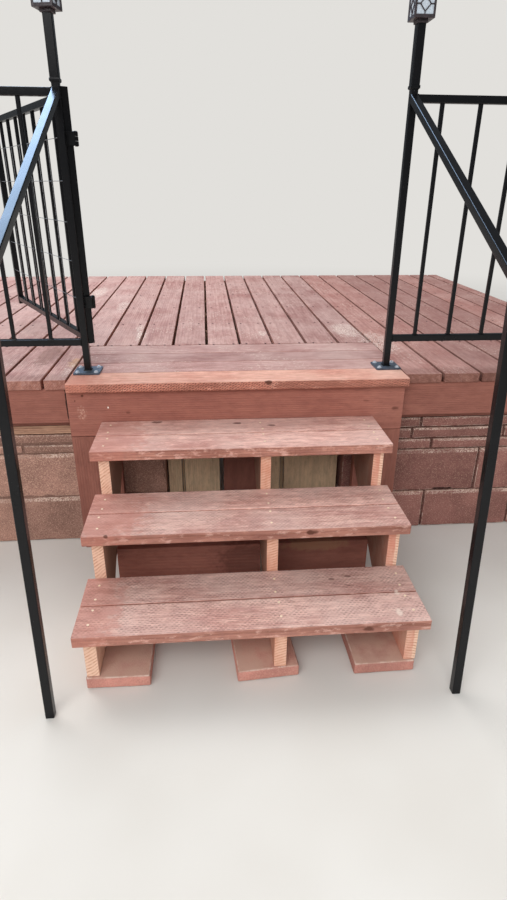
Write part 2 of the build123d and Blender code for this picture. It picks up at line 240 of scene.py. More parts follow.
def subdivide(piece, cuts, test=everything):
    """Cut the edges that pass a test into even lengths."""
    pick(piece, test)
    bpy.ops.mesh.subdivide(number_cuts=cuts)
    leave_edit()


def copy_to(piece, name, shift, turn=0.0):
    """A copy with a mesh of its own, turned about the upright axis and moved."""
    select_only(piece)
    bpy.ops.object.duplicate(linked=False)
    twin = bpy.context.object
    twin.matrix_world = Matrix.Translation(Vector(shift)) @ Matrix.Rotation(turn, 4, "Z")
    return settle(twin, name)


def join_up(name, pieces):
    """Join pieces into one."""
    select_only(*pieces)
    if len(pieces) > 1:
        bpy.ops.object.join()
    pieces[0].name = name
    return pieces[0]


def apply_last(piece, kind, **values):
    """Add a modifier, set it and apply it."""
    select_only(piece)
    modifier = piece.modifiers.new(kind.title(), kind)
    for name, value in values.items():
        setattr(modifier, name, value)
    bpy.ops.object.modifier_apply(modifier=modifier.name)


def dip(piece, pattern, scale, strength, middle=1.0, **values):
    """Let a piece's faces dip by a cloud pattern, which is made once."""
    clouds = bpy.data.textures.get(pattern) or bpy.data.textures.new(pattern, "CLOUDS")
    clouds.noise_scale = scale
    apply_last(piece, "DISPLACE", texture=clouds, texture_coords="GLOBAL", strength=strength,
               mid_level=middle, **values)


def mark(piece, name, value, test=everything):
    """Write a value on the faces that pass a test, for the piece's material to read."""
    mesh = piece.data
    layer = mesh.attributes.get(name) or mesh.attributes.new(name, "FLOAT", "FACE")
    for face, item in zip(mesh.polygons, layer.data):
        if test(face.center, face.normal):
            item.value = value


def solids_of(node):
    """The boxes of a node's separate solids, found by the corners that their faces share."""
    mesh = frame["nodes"][node].data
    corners = [tuple(round(value, 4) for value in vertex.co) for vertex in mesh.vertices]
    places = {corner: vertex.co for corner, vertex in zip(corners, mesh.vertices)}
    home = {corner: corner for corner in corners}

    def root(corner):
        while home[corner] != corner:
            corner = home[corner]
        return corner

    for face in mesh.polygons:
        first = root(corners[face.vertices[0]])
        for index in face.vertices[1:]:
            home[root(corners[index])] = first
    groups = {}
    for corner in home:
        groups.setdefault(root(corner), []).append(places[corner])
    boxes = [tuple(Vector(end(values) for values in zip(*group)) for end in (min, max))
             for group in groups.values()]
    return sorted(boxes, key=lambda box: tuple(box[0]))


def middle_of(node):
    """Centre of a node's box."""
    low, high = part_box(node)
    return (low + high) / 2


def reach_of(board, axis):
    """Where a board begins and ends along an axis."""
    places = [vertex.co[axis] for vertex in board.data.vertices]
    return min(places), max(places)


def cut_along(board, axis, step):
    """Cut a board across, at even steps along its length."""
    low, high = reach_of(board, axis)
    subdivide(board, max(1, int((high - low) / step)), runs(axis, (high - low) * 0.5))


def weather_board(board, axis):
    """Ease a board's ends, cut it along, let its faces dip and note its tone and ends."""
    timber = settings()[0]
    low, high = reach_of(board, axis)
    soften(board, timber.end_round,
           lambda a, b: a[axis] == b[axis] and min(a[axis] - low, high - a[axis]) < 1e-5, 1)
    cut_along(board, axis, timber.cut_step)
    dip(board, "board_waves", 0.16, timber.wave)
    mark(board, "board", chance.random())
    mark(board, "cut", 1.0, lambda centre, normal: abs(normal[axis]) > 0.9)
    return board


def add_board(name, low, high, axis):
    """A sawn board between two corners, its grain along an axis and its long edges rounded."""
    board = add_bar(name, low, high)
    soften(board, settings()[0].edge_round, runs(axis, (high[axis] - low[axis]) * 0.2), 3)
    return weather_board(board, axis)


def dressed_copy(node, name):
    """A copy of a node's mesh with its doubles merged and its flat faces whole."""
    select_only(frame["nodes"][node])
    bpy.ops.object.duplicate(linked=False)
    piece = bpy.context.object
    for key in list(piece.keys()):
        del piece[key]
    piece.parent = None
    piece.data.materials.clear()
    bpy.ops.object.mode_set(mode="EDIT")
    bpy.ops.mesh.select_all(action="SELECT")
    bpy.ops.mesh.remove_doubles(threshold=0.00005)
    bpy.ops.mesh.dissolve_limited(angle_limit=radians(1))
    bpy.ops.mesh.normals_make_consistent(inside=False)
    leave_edit()
    piece.name = name
    return piece


def dress(piece, material):
    """Give a piece one finish all over."""
    piece.data.materials.clear()
    piece.data.materials.append(material)
    return piece


def hand_over(piece, material, slot, *nodes, body=ROOT):
    """Dress and shade a finished piece, let it ride on its body and stand for its nodes."""
    if material:
        dress(piece, material)
    select_only(piece)
    bpy.ops.object.shade_smooth_by_angle(angle=radians(35))
    apply_last(piece, "WEIGHTED_NORMAL", keep_sharp=True)
    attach(piece, body)
    if nodes:
        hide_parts(*nodes)


def lay_boards(name, node, axis, material, slot):
    """Boards for all the solids of a node, joined; without an axis each runs its longer way."""
    boards = []
    for low, high in solids_of(node):
        longer = 0 if high.x - low.x > high.y - low.y else 1
        boards.append(add_board("board", low, high, longer if axis is None else axis))
    hand_over(join_up(name, boards), material, slot, node)


def spots_on(node, *rows):
    """Patches on a node; a row gives a place across, behind its front and above its top, then the rest."""
    low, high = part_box(node)
    return [((x, low.y + behind, high.z + above), *rest) for x, behind, above, *rest in rows]


# Materials

MIX_FACTOR, MIX_A, MIX_B, MIX_RESULT = 0, 6, 7, 2
GRAIN_TURNS = (Euler((0, 0, 0)), Euler((0, 0, -pi / 2)), Euler((0, pi / 2, 0)))
BACKDROP = shade(226, 224, 220)
KNOT = shade(92, 52, 40)
PALE_SPOT = shade(236, 214, 200)
FRESH = shade(198, 128, 112)
PEELED = shade(240, 226, 214)
# Where the painted shade on the stringers' sides begins and where it is fullest.
PAINTED_SHADE_FRONT, PAINTED_SHADE_BACK = -1.62, -1.34


class Nodes:
    """A node tree under construction."""

    def __init__(self, tree):
        self.tree = tree

    def node(self, kind, feeds, **values):
        """Add a node with these settings, and with its sockets fed."""
        node = self.tree.nodes.new("ShaderNode" + kind)
        for name, value in values.items():
            setattr(node, name, value)
        for socket, value in feeds.items():
            self.feed(node.inputs[socket], value)
        return node

    def feed(self, socket, value):
        """Link an output to a socket, or set a plain value there."""
        if isinstance(value, bpy.types.NodeSocket):
            self.tree.links.new(value, socket)
        elif hasattr(value, "__len__") and len(value) == 3 and len(getattr(socket, "default_value", ())) == 4:
            socket.default_value = (*value, 1)
        else:
            socket.default_value = value


class Finish(Nodes):
    """One material under construction: most calls add a node and give back its output."""

    def __init__(self, name):
        self.material = bpy.data.materials.new(name)
        self.material.use_nodes = True
        super().__init__(self.material.node_tree)
        self.shader = self.tree.nodes["Principled BSDF"]
        self.place = self.node("TexCoord", {}).outputs["Object"]

    def vector(self, operation, a, b=(0, 0, 0)):
        """Vector arithmetic."""
        node = self.node("VectorMath", {0: a, "Scale" if operation == "SCALE" else 1: b}, operation=operation)
        return node.outputs["Value" if operation == "DISTANCE" else "Vector"]

    def calc(self, operation, a, b=0.0):
        """Arithmetic on two values."""
        return self.node("Math", {0: a, 1: b}, operation=operation).outputs[0]

    def times(self, first, *others):
        """The product of values."""
        for value in others:
            first = self.calc("MULTIPLY", first, value)
        return first

    def part(self, vector, letter):
        """The X, Y or Z of a vector."""
        return self.node("SeparateXYZ", {0: vector}).outputs[letter]

    def turned(self, turn):
        """The object's coordinates, turned."""
        return self.node("Mapping", {"Vector": self.place, "Rotation": turn}).outputs[0]

    def lay_grain(self, turn, shift):
        """Turn the grain, and shift it by each board's own number."""
        shift = self.vector("SCALE", shift, self.noted("board"))
        self.grain = self.vector("ADD", self.turned(turn), shift)

    def drawn(self, share):
        """The grain's coordinates with their length scaled by a share, which draws patterns out."""
        return self.vector("MULTIPLY", self.grain, (share, 1, 1))

    def noise(self, scale, detail=2.0, roughness=0.5, at=None):
        """Cloudy noise from 0 to 1."""
        return self.node("TexNoise", {"Vector": at or self.place, "Scale": scale, "Detail": detail,
                                      "Roughness": roughness}).outputs["Fac"]

    def cells(self, scale):
        """Distance to the nearest of many scattered points."""
        return self.node("TexVoronoi", {"Vector": self.place, "Scale": scale}).outputs["Distance"]

    def rings(self, vector, spacing, distortion, kind="RINGS"):
        """Growth rings round the X axis, or bands along it, one every spacing."""
        feeds = {"Vector": vector, "Scale": 2 * pi / 20 / spacing, "Distortion": distortion, "Detail": 2.0,
                 "Detail Scale": 0.5}
        return self.node("TexWave", feeds, wave_type=kind, rings_direction="X",
                         bands_direction="X").outputs["Fac"]

    def dashes(self, vector, pitch, row, length, thickness):
        """Rows of short staggered dashes along X, as an incising roller leaves them."""
        drift = self.times(self.calc("SUBTRACT", self.noise(60, 2, at=vector), 0.5), 0.010)
        across = self.calc("DIVIDE", self.calc("ADD", self.part(vector, "Y"), drift), row)
        run = self.calc("DIVIDE", self.calc("ADD", self.part(vector, "X"), drift), pitch)
        run = self.calc("ADD", run, self.times(self.calc("FLOOR", across), 0.5))
        inside = []
        half_length, half_thickness = length / pitch / 2, thickness / row / 2
        for value, half, outer, inner in ((run, half_length, 1.3, 0.7), (across, half_thickness, 1.5, 0.5)):
            away = self.calc("ABSOLUTE", self.calc("SUBTRACT", self.calc("FRACT", value), 0.5))
            inside.append(self.ramp(away, half * outer, half * inner))
        return self.times(*inside)

    def ramp(self, value, low, high, to_low=0.0, to_high=1.0):
        """A smooth step from low to high."""
        feeds = {"Value": value, "From Min": low, "From Max": high, "To Min": to_low, "To Max": to_high}
        return self.node("MapRange", feeds, interpolation_type="SMOOTHSTEP").outputs["Result"]

    def blend(self, factor, a, b, how="MIX"):
        """Mix two colours."""
        node = self.node("Mix", {}, data_type="RGBA", blend_type=how)
        for socket, value in ((MIX_FACTOR, factor), (MIX_A, a), (MIX_B, b)):
            self.feed(node.inputs[socket], value)
        return node.outputs[MIX_RESULT]

    def over(self, factor, tint, how="MIX"):
        """Lay a tint over the finish's colour so far."""
        self.colour = self.blend(factor, self.colour, tint, how)

    def coat(self, pattern, low, high, share, tint):
        """Lay up to a share of a tint where a pattern goes from low to high."""
        self.over(self.ramp(pattern, low, high, 0.0, share), tint)

    def vary(self, low, high):
        """Let each board or block have a tone of its own."""
        own = self.ramp(self.noted("board"), 0.0, 1.0, low, high)
        self.over(1.0, self.vector("SCALE", (1, 1, 1), own), "MULTIPLY")

    def noted(self, name):
        """A value that was written on the faces."""
        return self.node("Attribute", {}, attribute_name=name).outputs["Fac"]

    def upward(self):
        """1 on faces that look up, 0 on upright ones."""
        return self.ramp(self.part(self.node("NewGeometry", {}).outputs["Normal"], "Z"), 0.45, 0.8)

    def bump(self, height, depth):
        """Relief of a given depth in metres, on top of any relief before it."""
        normal = self.shader.inputs["Normal"]
        feeds = {"Strength": 1.0, "Distance": depth, "Height": height}
        if normal.is_linked:
            feeds["Normal"] = normal.links[0].from_socket
        self.feed(normal, self.node("Bump", feeds).outputs[0])

    def spotted(self, spots, broken=None):
        """Lay patches: each has a centre, a radius, a stretch, a tint and a share."""
        wobble = self.noise(45, 2) if spots else None
        for centre, radius, stretch, tint, share in spots:
            middle = tuple(a * b for a, b in zip(centre, stretch))
            away = self.vector("DISTANCE", self.vector("MULTIPLY", self.place, stretch), middle)
            away = self.calc("ADD", away, self.times(self.calc("SUBTRACT", wobble, 0.5), radius * 1.2))
            patch = self.ramp(away, radius, radius * 0.5, 0.0, share)
            self.over(self.times(patch, broken) if broken else patch, tint)

    def done(self, roughness, **values):
        """Set the shader's colour, roughness and plain values."""
        self.feed(self.shader.inputs["Base Color"], self.colour)
        self.feed(self.shader.inputs["Roughness"], roughness)
        for name, value in values.items():
            self.shader.inputs[name.replace("_", " ")].default_value = value
        return self.material


def once(make):
    """Turn a function that fills in a finish into one that makes each named material once."""
    def find(name, *places, **values):
        return bpy.data.materials.get(name) or make(Finish(name), *places, **values)
    return find


def darker(colour, share):
    """A colour with part of its light left."""
    return tuple(value * share for value in colour)


def mixed(a, b, share):
    """A share of one colour and the rest of another."""
    return tuple(x * share + y * (1 - share) for x, y in zip(a, b))


def brighter(colour, times):
    """A colour with more light, up to white."""
    return tuple(min(1.0, value * times) for value in colour)


@once
def wood(finish, axis, light, dark, edges=None, ring=0.3, fleck=0.3, saw=0.0, dust=None, wear=None,
         spots=(), flecks=(), incised=0.0, mottle=1.0, sawn_front=0.0):
    """Sawn wood: streaks and growth rings along the grain, flecks, saw marks, dust, wear and knots."""
    finish.lay_grain(GRAIN_TURNS[axis], (11.3, 0.41, 0.37))
    streaks = finish.noise(75, 4, 0.6, finish.drawn(0.06))
    fine = finish.noise(420, 2, 0.6, finish.drawn(0.07))
    patches = finish.noise(9, 3, 0.6, finish.drawn(0.5))
    rings = finish.rings(finish.drawn(0.08), 0.007, 4.0)
    tone = finish.calc("ADD", finish.times(streaks, 0.55), finish.times(patches, 0.45))
    tone = finish.ramp(tone, 0.34, 0.66)
    finish.colour = finish.blend(tone, dark, light)
    up = finish.upward()
    if edges:
        finish.colour = finish.blend(up, finish.blend(tone, edges[1], edges[0]), finish.colour)
    finish.coat(rings, 0.62, 1.0, ring, finish.blend(1.0, finish.colour, (0.55, 0.45, 0.42), "MULTIPLY"))
    finish.coat(fine, 0.56, 0.7, fleck, darker(dark, 0.42))
    blotch = finish.noise(55, 5, 0.7, finish.drawn(0.4))
    finish.coat(blotch, 0.5, 0.66, 0.4 * mottle, darker(dark, 0.75))
    finish.coat(blotch, 0.48, 0.34, 0.35 * mottle, brighter(light, 1.15))
    finish.vary(0.88, 1.08)
    if wear:
        worn = finish.ramp(finish.noise(130, 4, 0.7, finish.drawn(0.5)), 0.56, 0.64, 0.0, wear[1])
        where = finish.ramp(finish.noise(4.5, 4, 0.6), 0.48, 0.62, 0.08)
        finish.over(finish.times(worn, where, up), wear[0])
    if dust:
        drift = finish.ramp(finish.noise(3.2, 4, 0.6), 0.3, 0.75, 0.0, dust[1])
        finish.over(finish.times(drift, up), dust[0])
    if sawn_front:
        dash = finish.dashes(finish.turned((pi / 2, 0, 0.6)), 0.013, 0.008, 0.009, 0.0034)
        dash = finish.times(dash, finish.calc("SUBTRACT", sawn_front, up))
        finish.over(finish.calc("MAXIMUM", dash, 0.0), darker(edges[1], 0.5))
    if incised:
        dash = finish.times(finish.dashes(finish.place, 0.0145, 0.0085, 0.008, 0.0026),
                            finish.ramp(finish.noise(24, 3), 0.36, 0.6, 0.25, 1.0))
        finish.over(finish.times(dash, incised), darker(dark, 0.2))
        finish.bump(dash, -0.001)
    finish.spotted(spots)
    if flecks:
        finish.spotted(flecks, finish.ramp(finish.noise(150, 4, 0.75), 0.5, 0.56))
    # Darker sawn ends; the siding's groove carries a larger mark here, and there the darkening is painted
    # shade.
    finish.over(finish.times(finish.noted("cut"), 0.2), darker(dark, 0.6))
    finish.bump(fine, 0.0006)
    finish.bump(finish.calc("ADD", streaks, rings), 0.0007)
    if saw:
        finish.bump(finish.rings(finish.grain, 0.0045, 2.5, "BANDS"), saw)
    return finish.done(finish.ramp(streaks, 0.3, 0.7, 0.72, 0.92), Specular_IOR_Level=0.3)


def tread_stain(number, spots):
    """Dusty stain on a tread, with the knots and spills of that tread."""
    colours = settings()[3]
    return wood(f"tread_{number}_stain", 0, colours.tread_light, colours.tread_dark,
                (colours.edge_light, colours.edge_dark), ring=0.45, fleck=0.65, saw=0.0004,
                dust=(shade(228, 200, 190), 0.5), wear=(shade(232, 204, 188), 0.15), spots=spots, mottle=1.3,
                incised=(0.5, 0.35, 0.12)[number - 1])


def deck_stain(name, axis, share=1.0, spots=(), flecks=()):
    """Worn stain on the deck and landing boards, dusty and scuffed by a given share."""
    colours = settings()[3]
    dusty = 0.4 + 0.6 * share
    end = 0.45 + 0.4 * share
    return wood(name, axis, mixed(colours.deck_light, colours.edge_dark, dusty),
                mixed(colours.deck_dark, colours.fascia_dark, dusty),
                (darker(colours.edge_light, end), darker(colours.edge_dark, end)), ring=0.25,
                dust=(shade(210, 182, 174), 0.5 * share), wear=(shade(236, 218, 202), 0.6), spots=spots,
                flecks=flecks)


def fascia_stain(name, axis, spots=(), share=1.0, flecks=()):
    """Red-brown stain on the fascia, rims and posts, darkened to a given share of its light."""
    colours = settings()[3]
    return wood(name, axis, darker(colours.fascia_light, share), darker(colours.fascia_dark, share),
                ring=0.03, fleck=0.12, spots=spots, flecks=flecks, mottle=0.8)


@once
def raw_pine(finish, turn, stain, share, bare_from=None):
    """Raw pine with ring lines, washed with stain that ran down from the treads, and darkened on its sides
    towards the back with painted shade.
    """
    colours = settings()[3]
    finish.lay_grain(turn, (7.1, 0.5, 0.4))
    rings = finish.rings(finish.drawn(0.1), 0.0085, 5.0)
    fine = finish.noise(500, 2, at=finish.drawn(0.08))
    broad = finish.noise(60, 3, at=finish.drawn(0.12))
    lines = finish.times(finish.ramp(rings, 0.35, 0.95), finish.ramp(broad, 0.35, 0.65, 0.3, 0.85))
    finish.colour = finish.blend(lines, colours.pine_light, colours.pine_dark)
    finish.coat(fine, 0.5, 0.75, 0.3, darker(colours.pine_dark, 0.7))
    trickle = finish.noise(26, 4, at=finish.vector("MULTIPLY", finish.place, (1, 1, 0.35)))
    wash = finish.ramp(trickle, 0.3, 0.7, share * 0.4, share)
    if bare_from is not None:
        side = finish.calc("ADD", finish.part(finish.place, "X"), finish.times(finish.noise(40), 0.008))
        wash = finish.times(wash, finish.ramp(side, bare_from + 0.003, bare_from + 0.006, 1.0, 0.1))
    finish.over(wash, stain)
    # Painted shade: the stringers' sides grow darker towards the back, under the treads.
    painted_shade = finish.ramp(finish.part(finish.place, "Y"), PAINTED_SHADE_FRONT, PAINTED_SHADE_BACK, 0.0, 0.7)
    finish.over(finish.times(painted_shade, finish.noted("side")), shade(104, 74, 62))
    finish.bump(fine, 0.0005)
    finish.bump(rings, 0.0004)
    return finish.done(finish.ramp(fine, 0.3, 0.7, 0.65, 0.85), Specular_IOR_Level=0.35)


@once
def concrete(finish, base, top=None, top_share=0.0, speckle=1.0, spots=()):
    """Cast concrete: gritty speckle, pits, pale chips on worn edges and dust."""
    colours = settings()[3]
    grit = finish.noise(230, 4, 0.75)
    pits = finish.cells(150)
    finish.colour = finish.blend(finish.ramp(finish.noise(7, 4, 0.6), 0.3, 0.7), darker(base, 0.78),
                                 brighter(base, 1.15))
    finish.coat(grit, 0.53, 0.62, 0.65 * speckle, colours.grains)
    finish.coat(grit, 0.47, 0.38, 0.6 * speckle, darker(base, 0.45))
    finish.coat(pits, 0.16, 0.05, 0.5, darker(base, 0.3))
    finish.coat(finish.cells(95), 0.2, 0.1, 0.6, colours.grains)
    finish.vary(0.85, 1.12)
    if top:
        drift = finish.ramp(finish.noise(14, 3), 0.25, 0.6, 0.3, 1.0)
        finish.over(finish.times(finish.upward(), top_share, drift), top)
    rim = finish.ramp(finish.noise(190, 3, 0.7), 0.46, 0.56, 0.0, 0.85)
    rim = finish.times(rim, finish.ramp(finish.noise(9, 3), 0.35, 0.6, 0.3))
    finish.over(finish.times(rim, finish.noted("rim")), colours.chips)
    worn = finish.ramp(finish.noise(34, 4, 0.7), 0.42, 0.58)
    finish.over(finish.times(worn, finish.noted("worn"), 0.85), colours.chips)
    finish.spotted(spots)
    finish.bump(finish.noise(480, 2), 0.0006)
    finish.bump(grit, 0.0016)
    finish.bump(finish.ramp(pits, 0.0, 0.2), 0.0012)
    return finish.done(finish.ramp(grit, 0.3, 0.7, 0.86, 0.98), Specular_IOR_Level=0.2)


@once
def coated(finish, pattern, step, first, second, relief, rough, specks=None, **values):
    """A thin coat with one fine pattern, which also gives its relief and its roughness."""
    mottle = finish.noise(*pattern) if len(pattern) > 1 else finish.cells(*pattern)
    finish.colour = finish.blend(finish.ramp(mottle, *step), first, second)
    if specks:
        finish.coat(finish.noise(260, 2), 0.62, 0.74, 0.6, specks)
    finish.bump(mottle, relief)
    return finish.done(finish.ramp(mottle, *rough), **values)


@once
def scuffed_paint(finish):
    """Satin black paint on steel, a little scuffed."""
    steel = settings()[3].steel
    drift = finish.noise(12, 4, 0.6)
    scuff = finish.noise(140, 3, 0.7)
    finish.colour = finish.blend(finish.ramp(drift, 0.3, 0.7, 0.0, 0.5), steel, darker(steel, 0.6))
    finish.coat(scuff, 0.68, 0.78, 0.35, shade(120, 120, 122))
    finish.bump(scuff, 0.0001)
    return finish.done(finish.ramp(drift, 0.3, 0.7, 0.2, 0.28), Specular_IOR_Level=0.22)


def thin_coat(name):
    """One of the thin coats: pattern, where it changes, two colours, relief, roughness and the rest."""
    colours = settings()[3]
    plate, zinc, bronze, glass = colours.plate, colours.zinc, colours.bronze, colours.glass
    even, wide = (0.35, 0.65), (0.4, 0.7)
    rows = {
        "base_plate_paint": ((60, 5, 0.7), even, darker(plate, 0.6), plate, 0.0003, (0.3, 0.7, 0.35, 0.6),
                             {"specks": shade(190, 178, 168), "Metallic": 0.2}),
        # The bolts' pale colour with little metallic is partly painted sheen, standing in for their
        # reflection.
        "bright_zinc": ((700,), (0.1, 0.7), zinc, darker(zinc, 0.7), 0.0001, (0.0, 0.8, 0.25, 0.45),
                        {"Metallic": 0.25}),
        "wire_zinc": ((160, 3), even, shade(150, 152, 154), shade(96, 98, 100), 0.0001, (0.3, 0.7, 0.4, 0.6),
                      {"Metallic": 0.3}),
        "screw_coat": ((500, 2), wide, shade(255, 238, 212), shade(226, 196, 160), 0.0001,
                       (0.3, 0.7, 0.35, 0.5), {"Metallic": 0.1}),
        "screw_rust": ((600, 3), even, shade(58, 34, 30), shade(98, 60, 50), 0.0003, (0.3, 0.7, 0.6, 0.9),
                       {}),
        "bronze_frame": ((90, 4, 0.6), even, bronze, darker(bronze, 0.55), 0.0002, (0.3, 0.7, 0.32, 0.5),
                         {"Coat_Weight": 0.2}),
        "lantern_glass": ((240, 3), wide, glass, darker(glass, 0.8), 0.0002, (0.3, 0.7, 0.12, 0.25),
                          {"Coat_Weight": 0.5}),
    }
    *row, values = rows[name]
    return coated(name, *row, **values)


# Fasteners

def add_screw(radius):
    """A countersunk screw head at the origin, its top at height 0, with a square recess."""
    screw = add_round("screw", (0, 0, -radius * 0.35), radius, radius * 0.7, 12)
    pick(screw, lambda centre, normal: normal.z > 0.9, faces=True)
    bpy.ops.mesh.inset(thickness=radius * 0.18, depth=radius * 0.05)
    bpy.ops.mesh.inset(thickness=radius * 0.4, depth=0)
    bpy.ops.mesh.extrude_region_move(TRANSFORM_OT_translate={"value": (0, 0, -radius * 0.3)})
    leave_edit()
    return screw


def drive_screws(name, radius, places, stray, material, slot):
    """One piece of screws, each a little astray across and along from its place."""
    across, along = stray
    spots = [Vector(place) + Vector((chance.uniform(-across, across), chance.uniform(-along, along), 0))
             for place in places]
    first = add_screw(radius)
    copies = [copy_to(first, name, spot, chance.uniform(0, pi / 2)) for spot in spots]
    bpy.data.objects.remove(first)
    hand_over(join_up(name, copies), material, slot)


# Steel parts

PLATE = 0.006
HINGE_PLATE = 0.0032
KNUCKLE = 0.014
KNUCKLE_STEP = KNUCKLE + 0.001
HINGE_HALF = KNUCKLE_STEP + KNUCKLE / 2


def upright(make, name, x, y, half, bottom, top, *rest):
    """A square piece that stands about a point."""
    return make(name, (x - half, y - half, bottom), (x + half, y + half, top), *rest)


def add_tube(name, low, high, axis):
    """A square steel tube with rounded corners along an axis."""
    return soften(add_bar(name, low, high), settings()[2].corner, runs(axis, (high[axis] - low[axis]) / 2), 3)


def add_weld(x, y, foot, half, height):
    """A lumpy bead of weld round the foot of a tube."""
    weld = settings()[2].weld
    bead = upright(add_bar, "weld", x, y, half + weld, foot, foot + height)
    soften(bead, height * 0.8, lambda a, b: min(a.z, b.z) > foot + height / 2)
    dip(bead, "weld_lumps", 0.006, weld * 0.5, 0.8)
    return bead


def end_weld(x, y, z, side):
    """A bead of weld round a rail's end, on the rail's side of the joint."""
    weld = settings()[2].weld
    reach = HALF_TUBE + weld * 0.4
    near, far = sorted((x, x + side * weld))
    return soften(add_bar("weld", (near, y - reach, z - reach), (far, y + reach, z + reach)), 0.0012)


def picket_panel(near, far, y, low, high, pickets):
    """Two level rails between two ends, with welds there, and pickets with a bead at each foot."""
    half = PICKET / 2
    parts = []
    for middle in (low + HALF_TUBE, high - HALF_TUBE):
        parts.append(add_tube("rail", (near, y - HALF_TUBE, middle - HALF_TUBE),
                              (far, y + HALF_TUBE, middle + HALF_TUBE), 0))
        parts.extend((end_weld(near, y, middle, 1), end_weld(far, y, middle, -1)))
    for x in pickets:
        parts.append(upright(add_tube, "picket", x, y, half, low + TUBE, high - TUBE, 2))
        parts.append(add_weld(x, y, low + TUBE, half - 0.001, 0.003))
    return parts


def hand_steel(name, parts, *nodes, body=ROOT):
    """Join black steel parts and hand them over."""
    hand_over(join_up(name, parts), scuffed_paint("black_steel_paint"), "black_steel", *nodes, body=body)


def add_base_plate(name, x, y, floor, reach):
    """A base plate with rounded corners, and the parts of its four lag bolts."""
    steel = settings()[2]
    top = floor + PLATE
    plate = soften(upright(add_bar, name, x, y, reach, floor, top), 0.006, runs(2, PLATE / 2), 3)
    soften(plate, 0.0012, lambda a, b: min(a.z, b.z) > top - 1e-5)
    inset = reach - steel.bolt_inset
    bolts = []
    for side, end in ((-1, -1), (-1, 1), (1, -1), (1, 1)):
        place = Vector((x + side * inset, y + end * inset, top))
        bolts.append(add_round("washer", place + Vector((0, 0, 0.0008)), steel.bolt_head * 0.8, 0.0016, 20))
        head = add_round("lag_head", place + Vector((0, 0, 0.0040)), steel.bolt_head * 0.58, 0.0050, 6)
        bolts.append(soften(head, 0.0010, lambda a, b: min(a.z, b.z) > top + 0.006))
    return plate, bolts


def level(a, b):
    """A test for edges whose two ends are equally high."""
    return abs(a.z - b.z) < 1e-6


def hinge_axis():
    """Where the gate turns, from its joint."""
    return Vector(frame["joints"][0]["pos_m"])


def hinge_heights():
    """Heights of the two hinges' middles."""
    deck_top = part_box("deck_boards_left")[1].z
    return deck_top + 0.265, deck_top + 0.817


def add_knuckle(x, y, z):
    """One barrel of a hinge, with eased rims."""
    return soften(add_round("hinge_knuckle", (x, y, z), 0.008, KNUCKLE, 20), 0.0008, level)


def add_hinge_plate(low, high):
    """A flat plate of a hinge, with eased edges."""
    return soften(add_bar("hinge_plate", low, high), 0.0007)


def post_hinge_parts():
    """The straps, wings, outer knuckles, pin heads and weld specks that stay on the newel."""
    axis = hinge_axis()
    newel = middle_of("newel_left")
    corner = newel.x + HALF_TUBE
    front = newel.y + HALF_TUBE
    back = front + HINGE_PLATE
    parts = []
    for middle in hinge_heights():
        parts.append(add_hinge_plate((newel.x - HALF_TUBE, front, middle - HINGE_HALF),
                                     (axis.x, back, middle + HINGE_HALF)))
        for side in (-1, 1):
            z = middle + side * KNUCKLE_STEP
            low, high = z - KNUCKLE / 2, z + KNUCKLE / 2
            parts.append(add_hinge_plate((axis.x - HINGE_PLATE, back - 0.001, low), (axis.x, axis.y, high)))
            parts.append(add_knuckle(axis.x, axis.y, z))
            pin = add_round("hinge_pin_head", (axis.x, axis.y, middle + side * HINGE_HALF), 0.0056, 0.004)
            parts.append(soften(pin, 0.0009, level))
            bead = add_bar("weld", (corner - 0.002, front - 0.003, low),
                           (corner + 0.004, front + 0.001, high))
            parts.append(soften(bead, 0.0012))
    return parts


def gate_hinge_parts(front):
    """The plates and middle knuckles that turn with the leaf, about the origin."""
    back = front - HINGE_PLATE
    parts = []
    for middle in hinge_heights():
        for near, far, half in ((0.009, 0.036, HINGE_HALF), (0.0, 0.010, KNUCKLE / 2)):
            parts.append(add_hinge_plate((near, back, middle - half), (far, front, middle + half)))
        parts.append(add_knuckle(0, 0, middle))
    return parts


# Cast pieces

def round_cast_edges(piece, width, worn=lambda centre, normal: max(abs(value) for value in normal) < 0.97):
    """Round the sharp edges of cast pieces and note them as worn."""
    pick(piece, lambda a, b: False)
    bpy.ops.mesh.edges_select_sharp(sharpness=radians(60))
    bpy.ops.mesh.bevel(offset_type="OFFSET", offset=width, segments=2, affect="EDGES")
    leave_edit()
    mark(piece, "worn", 1.0, worn)


def roughen(piece, grit, chip):
    """Pit a cast piece's faces and chip its worn edges."""
    noted = zip(piece.data.polygons, piece.data.attributes["worn"].data)
    worn = {corner for face, item in noted if item.value > 0.5 for corner in face.vertices}
    piece.vertex_groups.new(name="edges").add(sorted(worn), 1.0, "REPLACE")
    dip(piece, "cast_grit", 0.02, grit)
    dip(piece, "cast_chips", 0.045, chip, vertex_group="edges")
    piece.vertex_groups.clear()


# Operators, one for each group of pieces

class Maker(bpy.types.Operator):
    """What the operators share."""

    bl_options = {"REGISTER", "UNDO"}


